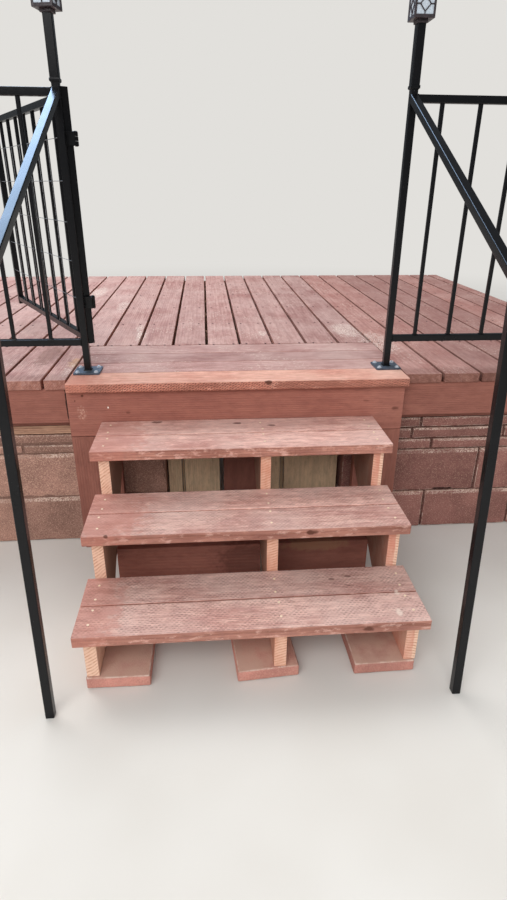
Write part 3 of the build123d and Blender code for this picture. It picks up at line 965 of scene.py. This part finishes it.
class STAIRS_OT_treads(Maker):
    """Three treads of two boards each, with their screws"""

    bl_idname = "stairs.treads"
    bl_label = "Treads"

    def execute(self, context):
        timber = settings()[0]
        long = (0.6, 1, 1)
        rows = {
            "tread_1": ((-0.500, 0.139, 0, 0.13, (1, 0.5, 1), FRESH, 0.45),
                        (0.467, 0.139, 0, 0.017, (1.6, 1, 1), PALE_SPOT, 0.8),
                        (0.447, 0.045, 0, 0.022, (1.8, 1, 1), PALE_SPOT, 0.75),
                        (0.340, 0, -0.021, 0.012, long, KNOT, 0.8),
                        (0.329, 0.233, 0, 0.008, long, KNOT, 0.6),
                        (0.269, 0.221, 0, 0.008, long, KNOT, 0.6)),
            "tread_2": ((-0.480, 0.160, 0, 0.17, (1, 0.6, 1), FRESH, 0.5),
                        (0.203, 0, -0.015, 0.012, (0.5, 1, 1), KNOT, 0.9),
                        (-0.455, 0.002, -0.002, 0.008, (1, 0.7, 1), KNOT, 0.8)),
            "tread_3": ((-0.470, 0.120, 0, 0.15, (1, 0.6, 1), FRESH, 0.45),
                        (-0.320, 0.266, 0, 0.014, long, KNOT, 0.8),
                        (-0.012, 0.236, 0, 0.012, long, KNOT, 0.75),
                        (0.117, 0.207, 0, 0.012, long, KNOT, 0.7)),
        }
        lines = [middle_of("stringer_" + side).x for side in ("left", "middle", "right")]
        for number, (node, spots) in enumerate(rows.items(), start=1):
            lay_boards(node + "_boards", node, 0, tread_stain(number, spots_on(node, *spots)), "tread_stain")
            low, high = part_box(node)
            places = [(x, low.y + row, high.z + timber.screw_stand)
                      for x in lines for row in (0.050, 0.117, 0.172, 0.240)]
            drive_screws(node + "_screws", timber.screw_head / 2, places, (0.004, 0.005),
                         thin_coat("screw_coat"), "tread_stain")
        return {"FINISHED"}


class STAIRS_OT_stringers(Maker):
    """Three stringers cut in steps, with sharp sawn edges"""

    bl_idname = "stairs.stringers"
    bl_label = "Stringers"

    def execute(self, context):
        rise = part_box("tread_3")[1].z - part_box("tread_1")[1].z
        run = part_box("tread_3")[0].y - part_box("tread_1")[0].y
        turn = Euler((-atan2(rise, run), 0, -pi / 2))
        bare_from = middle_of("stringer_right").x + 0.006
        washes = {
            "stringer_left": (shade(214, 150, 120), 0.35),
            "stringer_middle": (shade(216, 142, 114), 0.75),
            "stringer_right": (shade(218, 140, 118), 0.85, bare_from),
        }
        for node, wash in washes.items():
            stringer = soften(dressed_copy(node, node + "_board"), settings()[0].end_round)
            mark(stringer, "board", chance.random())
            # The sides are marked for the painted shade that raw_pine lays on them towards the back.
            mark(stringer, "side", 1.0, lambda centre, normal: abs(normal.x) > 0.9)
            hand_over(stringer, raw_pine(node + "_pine", turn, *wash), "raw_pine", node)
        return {"FINISHED"}


class STAIRS_OT_pavers(Maker):
    """Three concrete pavers under the stringers' feet"""

    bl_idname = "stairs.pavers"
    bl_label = "Pavers"

    def execute(self, context):
        masonry, colours = settings()[1], settings()[3]
        for node in ("paver_left", "paver_middle", "paver_right"):
            paver = dressed_copy(node, node + "_slab")
            subdivide(paver, 7)
            mark(paver, "board", chance.random())
            round_cast_edges(paver, masonry.arris, lambda centre, normal: 0.1 < abs(normal.z) < 0.97)
            roughen(paver, masonry.grit * 0.6, masonry.chip * 0.6)
            finish = concrete("paver_cast_concrete", colours.paver, colours.paver_dust, 0.85, 0.6)
            hand_over(paver, finish, "paver_concrete", node)
        return {"FINISHED"}


class STAIRS_OT_landing(Maker):
    """Nosing board, landing boards, fascia and corner boards"""

    bl_idname = "stairs.landing"
    bl_label = "Landing"

    def execute(self, context):
        timber, colours = settings()[0], settings()[3]
        low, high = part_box("nosing_board")
        nosing = add_bar("nosing_plank", low, high)
        soften(nosing, timber.nosing_round, lambda a, b: abs(a.x - b.x) > 1 and a.y < low.y + 0.01, 4)
        soften(nosing, timber.edge_round / 2, lambda a, b: abs(a.x - b.x) > 1 and a.y > high.y - 0.01)
        weather_board(nosing, 0)
        spots = spots_on("nosing_board", (0.112, 0, -0.007, 0.011, (0.7, 1, 1), KNOT, 0.9),
                         (-0.374, 0.137, 0, 0.014, (0.5, 1, 1), shade(168, 104, 74), 0.7),
                         (-0.640, 0.060, 0, 0.12, (1, 0.7, 1), shade(206, 132, 112), 0.5))
        edges = brighter(colours.nosing_dark, 1.15), darker(colours.nosing_dark, 0.55)
        finish = wood("nosing_stain", 0, colours.nosing_light, colours.nosing_dark, edges, fleck=0.45,
                      saw=0.0008, dust=(shade(236, 200, 182), 0.4), spots=spots, sawn_front=0.85)
        hand_over(nosing, finish, "nosing_timber", "nosing_board")
        lay_boards("landing_planks", "landing_boards", 0, deck_stain("landing_stain", 0), "deck_stain")

        nails = spots_on("landing_fascia", (-0.595, 0, -0.016, 0.006, (1, 1, 1), KNOT, 0.9),
                         (-0.625, 0, -0.036, 0.005, (1, 1, 1), KNOT, 0.9),
                         (-0.503, 0, -0.065, 0.005, (1.6, 1, 1), shade(255, 246, 236), 1.0),
                         (-0.430, 0, -0.088, 0.006, (0.6, 1, 1), KNOT, 0.5),
                         (0.505, 0, -0.060, 0.010, (0.5, 1, 1.6), KNOT, 0.4),
                         (0.622, 0, -0.093, 0.010, (0.6, 1, 1), KNOT, 0.6))
        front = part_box("landing_fascia")[0].y
        scratches = [((-0.606, front, 0.606), 0.030, (1.4, 1, 0.8), shade(214, 168, 150), 0.6)]
        lay_boards("landing_fascia_board", "landing_fascia", 0,
                   fascia_stain("fascia_board_stain", 0, nails, flecks=scratches), "fascia_stain")
        # The corner boards are darkened to 0.82 of the stain: painted shade on these low boards beside the
        # blocks.
        for node in ("corner_board_left", "corner_board_right"):
            lay_boards(node + "_plank", node, 2, fascia_stain("corner_stain", 2, share=0.82), "fascia_stain")
        return {"FINISHED"}


class STAIRS_OT_deck_boards(Maker):
    """The deck's boards in three fields, one of them notched round the landing"""

    bl_idname = "stairs.deck_boards"
    bl_label = "Deck boards"

    def execute(self, context):
        timber = settings()[0]
        landing_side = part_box("landing_boards")[0].x
        notch_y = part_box("deck_boards_middle")[0].y
        joists = [(low.y + high.y) / 2 for low, high in solids_of("deck_joists")]
        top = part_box("deck_boards_left")[1].z
        patches = [((-0.666, -0.700, top), 0.030, (1, 0.35, 1), shade(206, 162, 132), 0.8),
                   ((-0.800, -0.570, top), 0.060, (1, 0.3, 1), shade(128, 92, 76), 0.45)]
        bare = [((x, y, top), radius, (1, squeeze, 1), PEELED, share) for x, y, radius, squeeze, share in (
            (-0.842, 1.075, 0.055, 0.2, 0.9), (-0.620, 0.560, 0.040, 0.2, 0.8),
            (-0.440, -0.239, 0.030, 0.2, 0.95), (-0.461, -0.062, 0.026, 0.25, 0.8),
            (0.159, -0.207, 0.024, 0.35, 0.85), (0.592, -0.162, 0.085, 0.45, 0.85),
            (0.690, -0.430, 0.100, 0.4, 0.75), (-0.640, -0.800, 0.070, 0.5, 0.7))]
        for side, share in (("left", 1.0), ("middle", 0.8), ("right", 0.25)):
            node = "deck_boards_" + side
            boards = []
            for low, high in solids_of(node):
                if low.x < landing_side < high.x:
                    boards.append(self.notched(low, high, landing_side - 0.008, notch_y))
                else:
                    boards.append(add_board("deck_board", low, high, 1))
            hand_over(join_up(node + "_planks", boards),
                      deck_stain(node + "_worn_stain", 1, share, patches, bare), "deck_stain", node)
            places = [(x, y, high.z + timber.screw_stand / 2) for low, high in solids_of(node)
                      for y in joists for x in (low.x + 0.028, high.x - 0.028)]
            drive_screws(node + "_screws", timber.screw_head * 0.65, places, (0.005, 0.007),
                         thin_coat("screw_rust"), "deck_stain")
        return {"FINISHED"}

    def notched(self, low, high, notch_x, notch_y):
        """The board whose front corner is cut away beside the landing."""
        board = add_bar("notched_deck_board", low, (notch_x, high.y, high.z))
        pick(board, everything, faces=True)
        bpy.ops.mesh.bisect(plane_co=(0, notch_y, 0), plane_no=(0, 1, 0))
        leave_edit()
        pick(board, lambda centre, normal: normal.x > 0.9 and centre.y > notch_y, faces=True)
        bpy.ops.mesh.extrude_region_move(TRANSFORM_OT_translate={"value": (high.x - notch_x, 0, 0)})
        leave_edit()
        soften(board, settings()[0].end_round)
        mark(board, "board", chance.random())
        mark(board, "cut", 1.0, lambda centre, normal: abs(normal.y) > 0.9)
        return board


class STAIRS_OT_deck_frame(Maker):
    """Rim joists, ledger, joists, blocking, posts and sill boards under the deck"""

    bl_idname = "stairs.deck_frame"
    bl_label = "Deck frame"

    def execute(self, context):
        colours = settings()[3]
        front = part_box("rim_joist_front")[0].y
        # Two thin near-black streaks on the rim beside the fascia's ends: painted shadow in the gaps there.
        gap_shadows = [((-0.6635, front, 0.640), 0.0065, (1, 1, 0.055), shade(26, 16, 14), 0.95),
                ((0.6565, front, 0.625), 0.0030, (1, 1, 0.035), shade(34, 20, 17), 0.9)]
        for side, axis, spots in (("front", 0, gap_shadows), ("left", 1, ()), ("right", 1, ())):
            node = "rim_joist_" + side
            lay_boards(node + "_plank", node, axis, fascia_stain(node + "_stain", axis, spots, 0.85),
                       "fascia_stain")
        frame_axes = {"wall_ledger": 0, "deck_joists": 0, "landing_blocking": 1, "deck_posts": 2}
        for node, axis in frame_axes.items():
            plain = wood(f"frame_timber_{axis}", axis, colours.timber_light, colours.timber_dark, ring=0.35)
            lay_boards(node + "_timber", node, axis, plain, "frame_timber")
        # The sill boards are darkened to 0.7 of the stain: painted shade under the rim.
        lay_boards("sill_planks", "sill_boards", None, fascia_stain("sill_stain", 0, share=0.7),
                   "frame_timber")
        return {"FINISHED"}


class STAIRS_OT_riser_backing(Maker):
    """The post, kick boards and siding panels that show between the treads"""

    bl_idname = "stairs.riser_backing"
    bl_label = "Pieces behind the risers"

    def execute(self, context):
        siding = settings()[3].siding
        # The centre post is darkened to 0.66 of the stain: painted shade under the deck.
        lay_boards("centre_post_plank", "centre_post", 2, fascia_stain("centre_post_stain", 2, share=0.66),
                   "fascia_stain")
        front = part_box("kick_boards")[0].y
        patches = [((0.270, front, 0.172), 0.15, (1, 1, 4.5), shade(158, 118, 90), 0.6),
                   ((0.003, front, 0.115), 0.13, (1, 1, 1.3), shade(70, 40, 36), 0.45)]
        lay_boards("kick_planks", "kick_boards", 0, fascia_stain("kick_stain", 0, patches, 0.85),
                   "fascia_stain")
        left, right = solids_of("siding_panels")
        right[0].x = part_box("stringer_middle")[1].x
        panels = [self.grooved(*left, left[0].x + 0.059, 0.010), self.grooved(*right, 0.181, 0.016)]
        finish = wood("siding_offcut_paint", 2, siding, darker(siding, 0.75), ring=0.1)
        hand_over(join_up("siding_offcuts", panels), finish, "siding_paint", "siding_panels")
        return {"FINISHED"}

    def grooved(self, low, high, groove, width):
        """A siding offcut with one upright groove, darkened with painted shade, its side edges a little
        ragged.
        """
        ends = (low.x, groove, groove + width, high.x)
        groove_depth, groove_shade = 0.009, 4.0
        strips = []
        for left, right, depth in zip(ends, ends[1:], (0.0, groove_depth, 0.0)):
            strip = add_bar("siding_strip", (left, low.y + depth, low.z), (right, high.y, high.z))
            soften(strip, 0.001, runs(2, 0.3), 1)
            cut_along(strip, 2, 0.03)
            dip(strip, "ragged_edge", 0.05, 0.003)
            # The groove's strip gets a strong cut mark, which the wood finish turns into painted shade.
            mark(strip, "cut", groove_shade if depth else 0.0)
            strips.append(strip)
        panel = join_up("siding_offcut", strips)
        mark(panel, "board", chance.random())
        return panel


class STAIRS_OT_block_skirts(Maker):
    """The skirts of dry-laid blocks, with thin cap blocks above two courses of full ones"""

    bl_idname = "stairs.block_skirts"
    bl_label = "Block skirts"

    def execute(self, context):
        masonry, colours = settings()[1], settings()[3]
        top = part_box("block_skirt_left")[1].z
        left_heights = (0.0, 0.214, 0.414, 0.453, 0.499)
        right_heights = (0.0, 0.185, 0.387, 0.436, 0.487, top)
        left_kind = (left_heights, colours.block_left, 0.6, 1.0, 0.008, 0.6)
        right_kind = (right_heights, colours.block_right, 1.0, 0.55, 0.014, 0.4)
        walls = (("block_skirt_left", left_kind, 0, (-0.935, -1.030, -0.868, -0.960)),
                 ("block_skirt_right", right_kind, 0, (0.823, 1.041, 0.823, 0.732, 0.767)),
                 ("side_skirt_left", left_kind, 1, (0.10, 0.30, 0.18, 0.05)),
                 ("side_skirt_right", right_kind, 1, (0.10, 0.30, 0.18, 0.05, 0.24)))
        for node, (heights, tint, rounding, speckle, depth, shadow), axis, joints in walls:
            low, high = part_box(node)
            blocks = []
            for bottom, above, joint in zip(heights, heights[1:], joints):
                blocks.extend(self.course(low, high, axis, bottom, above, joint))
            wall = join_up(node + "_blocks", blocks)
            round_cast_edges(wall, masonry.arris * rounding)
            roughen(wall, masonry.grit, masonry.chip)
            # A near-black patch low on the right wall where a block is broken out: painted shade in the
            # hollow, which has no depth.
            break_out_shade = [((0.900, low.y, 0.190), 0.065, (1.2, 0.5, 6), shade(24, 16, 14), 0.97)]
            spots = break_out_shade if node == "block_skirt_right" else ()
            # A darker fill behind the blocks, seen only through the joints: painted shade in the joints,
            # darkened by the shadow share.
            inset = Vector((depth, depth, 0.004))
            fill = add_bar(node + "_joint_dust", low + inset, Vector((high.x, high.y, heights[-1])) - inset)
            mark(fill, "board", 0.5)
            finish = concrete("joint_dust_" + node, darker(tint, shadow), speckle=0.5)
            hand_over(fill, finish, "concrete_block")
            finish = concrete("concrete_" + node, tint, shade(196, 158, 134), 0.5, speckle, spots)
            hand_over(wall, finish, "concrete_block", node)
        for node, axis in (("block_skirt_left", 0), ("side_skirt_left", 1)):
            low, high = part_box(node)
            shim = add_board(node + "_shim", (low.x, low.y, left_heights[-1]), high, axis)
            finish = wood(f"shim_timber_{axis}", axis, shade(196, 154, 128), shade(150, 112, 92), ring=0.5,
                          fleck=0.6)
            hand_over(shim, finish, "frame_timber")
        return {"FINISHED"}

    def course(self, low, high, axis, bottom, above, start):
        """One course of blocks along a wall, with a joint at a given place."""
        masonry = settings()[1]
        pitch = masonry.block + masonry.joint
        while start > low[axis]:
            start -= pitch
        blocks = []
        while start < high[axis]:
            near = max(start, low[axis])
            far = min(start + pitch, high[axis])
            start += pitch
            if far - near < 0.03:
                continue
            corner = Vector((low.x, low.y, bottom))
            opposite = Vector((high.x, high.y, above - 0.001))
            corner[axis] = near + masonry.joint / 2
            opposite[axis] = far - masonry.joint / 2
            setback = chance.uniform(0.0, 0.005)
            corner[1 - axis] += setback
            opposite[1 - axis] -= setback
            block = add_bar("block", corner, opposite)
            subdivide(block, 9 if above - bottom > 0.1 else 3)
            mark(block, "board", chance.random())
            mark(block, "rim", 1.0, lambda centre, normal: centre.z > above - 0.014)
            blocks.append(block)
        return blocks


class STAIRS_OT_posts(Maker):
    """Newels with their sleeves and base plates, and the posts at the deck's corners"""

    bl_idname = "stairs.posts"
    bl_label = "Newels and end posts"

    def execute(self, context):
        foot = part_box("deck_boards_left")[1].z + PLATE
        rail_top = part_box("end_post_left")[1].z
        wide = 0.015
        for node in ("newel_left", "newel_right", "end_post_left", "end_post_right"):
            low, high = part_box(node)
            x, y = middle_of(node).xy
            plate, bolts = add_base_plate(node + "_plate", x, y, foot - PLATE, (high.x - low.x) / 2)
            newel = "newel" in node
            top = rail_top + 0.014 if newel else rail_top
            parts = [upright(add_tube, "post", x, y, HALF_TUBE, foot, top, 2),
                     add_weld(x, y, foot, HALF_TUBE, 0.004)]
            if newel:
                sleeve = upright(add_tube, "sleeve", x, y, wide, top, high.z, 2)
                soften(sleeve, 0.0012, lambda a, b: max(a.z, b.z) < top + 1e-5)
                lip = soften(upright(add_bar, "lip", x, y, wide + 0.002, top + 0.002, top + 0.012), 0.0018)
                pin = add_round("set_screw", (x, y - wide, top + 0.030), 0.003, 0.003, 10, (pi / 2, 0, 0))
                parts.extend((sleeve, lip, pin))
            if node == "newel_left":
                parts.extend(post_hinge_parts())
            hand_steel(node + "_post", parts, node)
            hand_over(plate, thin_coat("base_plate_paint"), "black_steel")
            hand_over(join_up(node + "_lags", bolts), thin_coat("bright_zinc"), "black_steel")
        return {"FINISHED"}


class STAIRS_OT_side_rails(Maker):
    """The level guard rails beside the newels, with their pickets and welds"""

    bl_idname = "stairs.side_rails"
    bl_label = "Side rails"

    def execute(self, context):
        pitch = 0.138
        for name, side, first in (("left", -1, -0.128), ("right", 1, 0.107)):
            node = "side_rail_" + name
            low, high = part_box(node)
            x = middle_of("newel_" + name).x + first
            pickets = []
            while abs(x) < max(abs(low.x), abs(high.x)) - pitch / 2:
                pickets.append(x)
                x += side * pitch
            parts = picket_panel(low.x, high.x, (low.y + high.y) / 2, low.z, high.z, pickets)
            hand_steel(node + "_steel", parts, node)
        return {"FINISHED"}


class STAIRS_OT_handrails(Maker):
    """The sloped handrails and the posts under their lower ends"""

    bl_idname = "stairs.handrails"
    bl_label = "Handrails"

    def execute(self, context):
        corner = settings()[2].corner
        for side in ("left", "right"):
            node = "handrail_" + side
            rail = soften(dressed_copy(node, "rail"), corner, lambda a, b: (a - b).length > 0.5, 3)
            soften(rail, 0.0008, lambda a, b: abs(a.y - b.y) < 1e-5, 1)
            hand_steel(node + "_steel", [rail], node)
            node = "lower_post_" + side
            hand_steel(node + "_tube", [soften(dressed_copy(node, "post"), corner, runs(2, 0.5), 3)], node)
        return {"FINISHED"}


class STAIRS_OT_lanterns(Maker):
    """Two small square lanterns on the newels"""

    bl_idname = "stairs.lanterns"
    bl_label = "Lanterns"

    def execute(self, context):
        pattern = self.lantern()
        for side, turn in (("left", radians(-14)), ("right", 0.0)):
            node = "lantern_" + side
            centre = middle_of("newel_" + side)
            twin = copy_to(pattern, node + "_glazed", (centre.x, centre.y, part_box(node)[0].z), turn)
            hand_over(twin, None, "lantern_bronze", node)
        bpy.data.objects.remove(pattern)
        return {"FINISHED"}

    def lantern(self):
        """A lantern at the origin: base, corner posts, glass, thin bars, lid, socket and roof."""
        steel = settings()[2]
        half, body, lid, post = steel.lantern_half, steel.lantern_body, steel.lantern_lid, steel.lantern_post
        metal = [soften(upright(add_bar, "base", 0, 0, half, 0, 0.005), 0.0012)]
        for x in (-half, half - post):
            for y in (-half, half - post):
                corner = add_bar("corner", (x, y, 0.004), (x + post, y + post, body))
                metal.append(soften(corner, 0.001, runs(2, 0.02)))
        panes = []
        for number in range(4):
            pane = add_bar("pane", (-half + 0.004, -half + 0.004, 0.005),
                           (half - 0.004, -half + 0.0055, body))
            bars = self.side_bars(half, body, half - post)
            for part, pile in (*((bar, metal) for bar in bars), (pane, panes)):
                pile.append(copy_to(part, "lantern_part", (0, 0, 0), number * pi / 2))
                bpy.data.objects.remove(part)
        metal.append(soften(upright(add_bar, "lid", 0, 0, lid, body, body + 0.006), 0.0015))
        metal.append(soften(upright(add_bar, "socket", 0, 0, 0.019, -0.010, 0), 0.002))
        diagonal = 2 ** 0.5
        roof = add("roof", bpy.ops.mesh.primitive_cone_add, vertices=4, radius1=(lid - 0.002) * diagonal,
                   radius2=0.007 * diagonal, depth=0.044, location=(0, 0, body + 0.028),
                   rotation=(0, 0, pi / 4))
        metal.append(soften(roof, 0.002))
        return join_up("lantern", [dress(join_up("lantern_frame", metal), thin_coat("bronze_frame")),
                                   dress(join_up("lantern_panes", panes), thin_coat("lantern_glass"))])

    def side_bars(self, half, body, inner):
        """The bars of one side: two rails, upright mullions, and a diamond with a bar to each side."""
        thin = settings()[2].muntin
        y = -half + thin / 2 + 0.001
        low, middle, high, reach = 0.0175, 0.038, 0.0585, 0.0175
        bars = [add_bar("rail", (-inner, -half, bottom), (inner, -inner, top))
                for bottom, top in ((0.004, 0.010), (body - 0.009, body))]
        runs_between = ((0, low, reach, middle), (reach, middle, 0, high), (0, high, -reach, middle),
                        (-reach, middle, 0, low), (0, 0.010, 0, low), (0, high, 0, body - 0.009),
                        (-inner, middle, -reach, middle), (reach, middle, inner, middle))
        for x_1, z_1, x_2, z_2 in runs_between:
            bars.append(add_strut("muntin", (x_1, y, z_1), (x_2, y, z_2), thin))
        return bars


class STAIRS_OT_gate(Maker):
    """The gate's leaf, modelled closed and turned to where it stands open"""

    bl_idname = "stairs.gate"
    bl_label = "Gate"

    open_angle: FloatProperty(name="Open angle", default=radians(119), subtype="ANGLE",
                              description="How far the gate stands open")

    def execute(self, context):
        hinge = hinge_axis()
        hinge.z = 0
        back = Matrix.Rotation(-self.open_angle, 4, "Z") @ Matrix.Translation(-hinge)
        corners = [back @ vertex.co for vertex in frame["nodes"]["gate_leaf"].data.vertices]
        far = max(corner.x for corner in corners)
        front = max(corner.y for corner in corners) - TUBE
        foot = min(corner.z for corner in corners)
        top = max(corner.z for corner in corners)
        near = 0.005
        rail_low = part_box("side_rail_left")[0].z
        rail_high = top - 0.015 - TUBE
        y = front + HALF_TUBE
        parts = []
        for x, bottom in ((near, rail_low), (far - TUBE, foot)):
            stile = upright(add_tube, "stile", x + HALF_TUBE, y, HALF_TUBE, bottom, top, 2)
            parts.append(soften(stile, 0.0012, lambda a, b: a.z == b.z, 1))
        inner, outer = near + TUBE, far - TUBE
        pitch = (outer - near) / (PICKETS + 1)
        pickets = [near + HALF_TUBE + number * pitch for number in range(1, PICKETS + 1)]
        parts.extend(picket_panel(inner, outer, y, rail_low, rail_high + TUBE, pickets))
        parts.extend(gate_hinge_parts(front))
        wires = self.wires(inner, outer, y + PICKET / 2, rail_low + TUBE, rail_high)
        leaf = join_up("leaf", parts)
        for piece in (leaf, wires):
            piece.matrix_world = Matrix.Translation(hinge) @ Matrix.Rotation(self.open_angle, 4, "Z")
            settle(piece, piece.name)
        hand_steel("gate_leaf_steel", [leaf], "gate_leaf", body=GATE)
        hand_over(wires, thin_coat("wire_zinc"), "black_steel", body=GATE)
        return {"FINISHED"}

    def wires(self, near, far, y, bottom, top):
        """Thin welded wires over one side of the pickets."""
        steel = settings()[2]
        radius = steel.wire / 2
        wires = []
        height = hinge_heights()[0]
        while height < top - 0.05:
            place = ((near + far) / 2, y + radius, height)
            wires.append(add_round("wire", place, radius, far - near, 8, (0, pi / 2, 0)))
            height += steel.mesh_step
        last = height - steel.mesh_step
        x = near + steel.mesh_step / 2
        while x < far - 0.03:
            place = (x, y + radius * 2.6, (bottom + last) / 2)
            wires.append(add_round("wire", place, radius, last - bottom, 8))
            x += steel.mesh_step
        return join_up("gate_wires", wires)


class STAIRS_OT_stage(Maker):
    """Pale floor, soft light and the camera"""

    bl_idname = "stairs.stage"
    bl_label = "Stage"

    def execute(self, context):
        self.floor()
        self.sky()
        self.softbox("sky_panel", (-2.4, 2.6, 6.0), (5.0, 4.0), 330.0).visible_glossy = False
        self.softbox("front_panel", (-2.0, -6.5, 5.0), (6.0, 4.0), 290.0)
        mirror = self.softbox("sky_mirror", (-2.3, 2.3, 5.6), (4.0, 3.4), 520.0)
        mirror.visible_diffuse = False
        mirror.data.color = (0.5, 0.7, 1.0)
        self.camera()
        context.scene.view_settings.view_transform = "Standard"
        return {"FINISHED"}

    def floor(self):
        """A wide pale floor, which fades into the backdrop."""
        floor = add("pale_floor", bpy.ops.mesh.primitive_circle_add, vertices=96, radius=60, fill_type="NGON",
                    location=(0, 0, -0.0005))
        finish = Finish("pale_floor")
        finish.colour = finish.blend(finish.ramp(finish.noise(2.0, 2), 0.3, 0.7), shade(226, 222, 216),
                                     shade(220, 215, 208))
        finish.done(0.9, Specular_IOR_Level=0.1)
        away = finish.ramp(finish.vector("DISTANCE", finish.place), 3.5, 9.0)
        seen = finish.times(away, finish.node("LightPath", {}).outputs["Is Camera Ray"])
        haze = finish.node("Emission", {"Color": BACKDROP})
        both = finish.node("MixShader", {0: seen, 1: finish.shader.outputs[0], 2: haze.outputs[0]})
        finish.feed(finish.tree.nodes["Material Output"].inputs["Surface"], both.outputs[0])
        dress(floor, finish.material)

    def sky(self):
        """Even light from all round, with a pale backdrop for the camera and dim reflections."""
        world = bpy.data.worlds.new("soft_sky")
        bpy.context.scene.world = world
        world.use_nodes = True
        sky = Nodes(world.node_tree)
        light = sky.tree.nodes["Background"]
        sky.feed(light.inputs["Color"], (0.93, 0.97, 1.0))
        sky.feed(light.inputs["Strength"], 0.55)
        dim = sky.node("Background", {"Color": (0.85, 0.93, 1.0), "Strength": 0.16})
        backdrop = sky.node("Background", {"Color": BACKDROP, "Strength": 1.0})
        rays = sky.node("LightPath", {}).outputs
        feeds = {0: rays["Is Camera Ray"], 1: rays["Is Transmission Ray"]}
        seen = sky.node("Math", feeds, operation="MAXIMUM")
        lit = sky.node("MixShader", {0: rays["Is Glossy Ray"], 1: light.outputs[0], 2: dim.outputs[0]})
        both = sky.node("MixShader", {0: seen.outputs[0], 1: lit.outputs[0], 2: backdrop.outputs[0]})
        sky.feed(sky.tree.nodes["World Output"].inputs["Surface"], both.outputs[0])

    def softbox(self, name, place, size, power):
        """A broad area light that points at the middle of the flight."""
        aim = Vector((0, -0.6, 0.6))
        turn = (aim - Vector(place)).to_track_quat("-Z", "Y").to_euler()
        bpy.ops.object.light_add(type="AREA", location=place, rotation=turn)
        lamp = bpy.context.object
        lamp.name = name
        lamp.data.shape = "RECTANGLE"
        lamp.data.size, lamp.data.size_y = size
        lamp.data.energy = power
        lamp.visible_camera = False
        return lamp

    def camera(self):
        """A camera where the photographer stood, in front of the flight and above its treads."""
        yaw, pitch, roll = radians(4.77), radians(24.39), radians(0.41)
        turn = Matrix.Rotation(-yaw, 3, "Z") @ Matrix.Rotation(pi / 2 - pitch, 3, "X")
        turn = (turn @ Matrix.Rotation(roll, 3, "Z")).to_euler()
        bpy.ops.object.camera_add(location=(-0.1216, -3.1041, 1.4067), rotation=turn)
        camera = bpy.context.object
        camera.name = "view"
        camera.data.sensor_width = 36
        camera.data.lens = 23.31
        bpy.context.scene.camera = camera


class STAIRS_PT_panel(bpy.types.Panel):
    """Lists the steps that build the stairs"""

    bl_idname = "STAIRS_PT_panel"
    bl_label = "Wooden Deck Stairs"
    bl_space_type = "VIEW_3D"
    bl_region_type = "UI"
    bl_category = "Deck Stairs"

    def draw(self, context):
        for operator in OPERATORS:
            self.layout.operator(operator.bl_idname)
        for name, group in GROUPS.items():
            for setting in group.__annotations__:
                self.layout.prop(getattr(context.scene, name), setting)


GROUPS = {
    "stair_timber": TimberSizes,
    "stair_masonry": MasonrySizes,
    "stair_steel": SteelSizes,
    "stair_colours": StairColours,
}
OPERATORS = (
    STAIRS_OT_treads,
    STAIRS_OT_stringers,
    STAIRS_OT_pavers,
    STAIRS_OT_landing,
    STAIRS_OT_deck_boards,
    STAIRS_OT_deck_frame,
    STAIRS_OT_riser_backing,
    STAIRS_OT_block_skirts,
    STAIRS_OT_posts,
    STAIRS_OT_side_rails,
    STAIRS_OT_handrails,
    STAIRS_OT_lanterns,
    STAIRS_OT_gate,
    STAIRS_OT_stage,
)


def register():
    """Register the settings, the operators and the panel."""
    for name, group in GROUPS.items():
        bpy.utils.register_class(group)
        setattr(bpy.types.Scene, name, PointerProperty(type=group))
    for item in (*OPERATORS, STAIRS_PT_panel):
        bpy.utils.register_class(item)


def unregister():
    """Take away what was registered."""
    for item in reversed((*OPERATORS, STAIRS_PT_panel)):
        bpy.utils.unregister_class(item)
    for name, group in GROUPS.items():
        delattr(bpy.types.Scene, name)
        bpy.utils.unregister_class(group)


def main():
    """Build every piece in order."""
    register()
    bpy.ops.stairs.treads()
    bpy.ops.stairs.stringers()
    bpy.ops.stairs.pavers()
    bpy.ops.stairs.landing()
    bpy.ops.stairs.deck_boards()
    bpy.ops.stairs.deck_frame()
    bpy.ops.stairs.riser_backing()
    bpy.ops.stairs.block_skirts()
    bpy.ops.stairs.posts()
    bpy.ops.stairs.side_rails()
    bpy.ops.stairs.handrails()
    bpy.ops.stairs.lanterns()
    bpy.ops.stairs.gate()
    bpy.ops.stairs.stage()


if __name__ == "__main__":
    main()
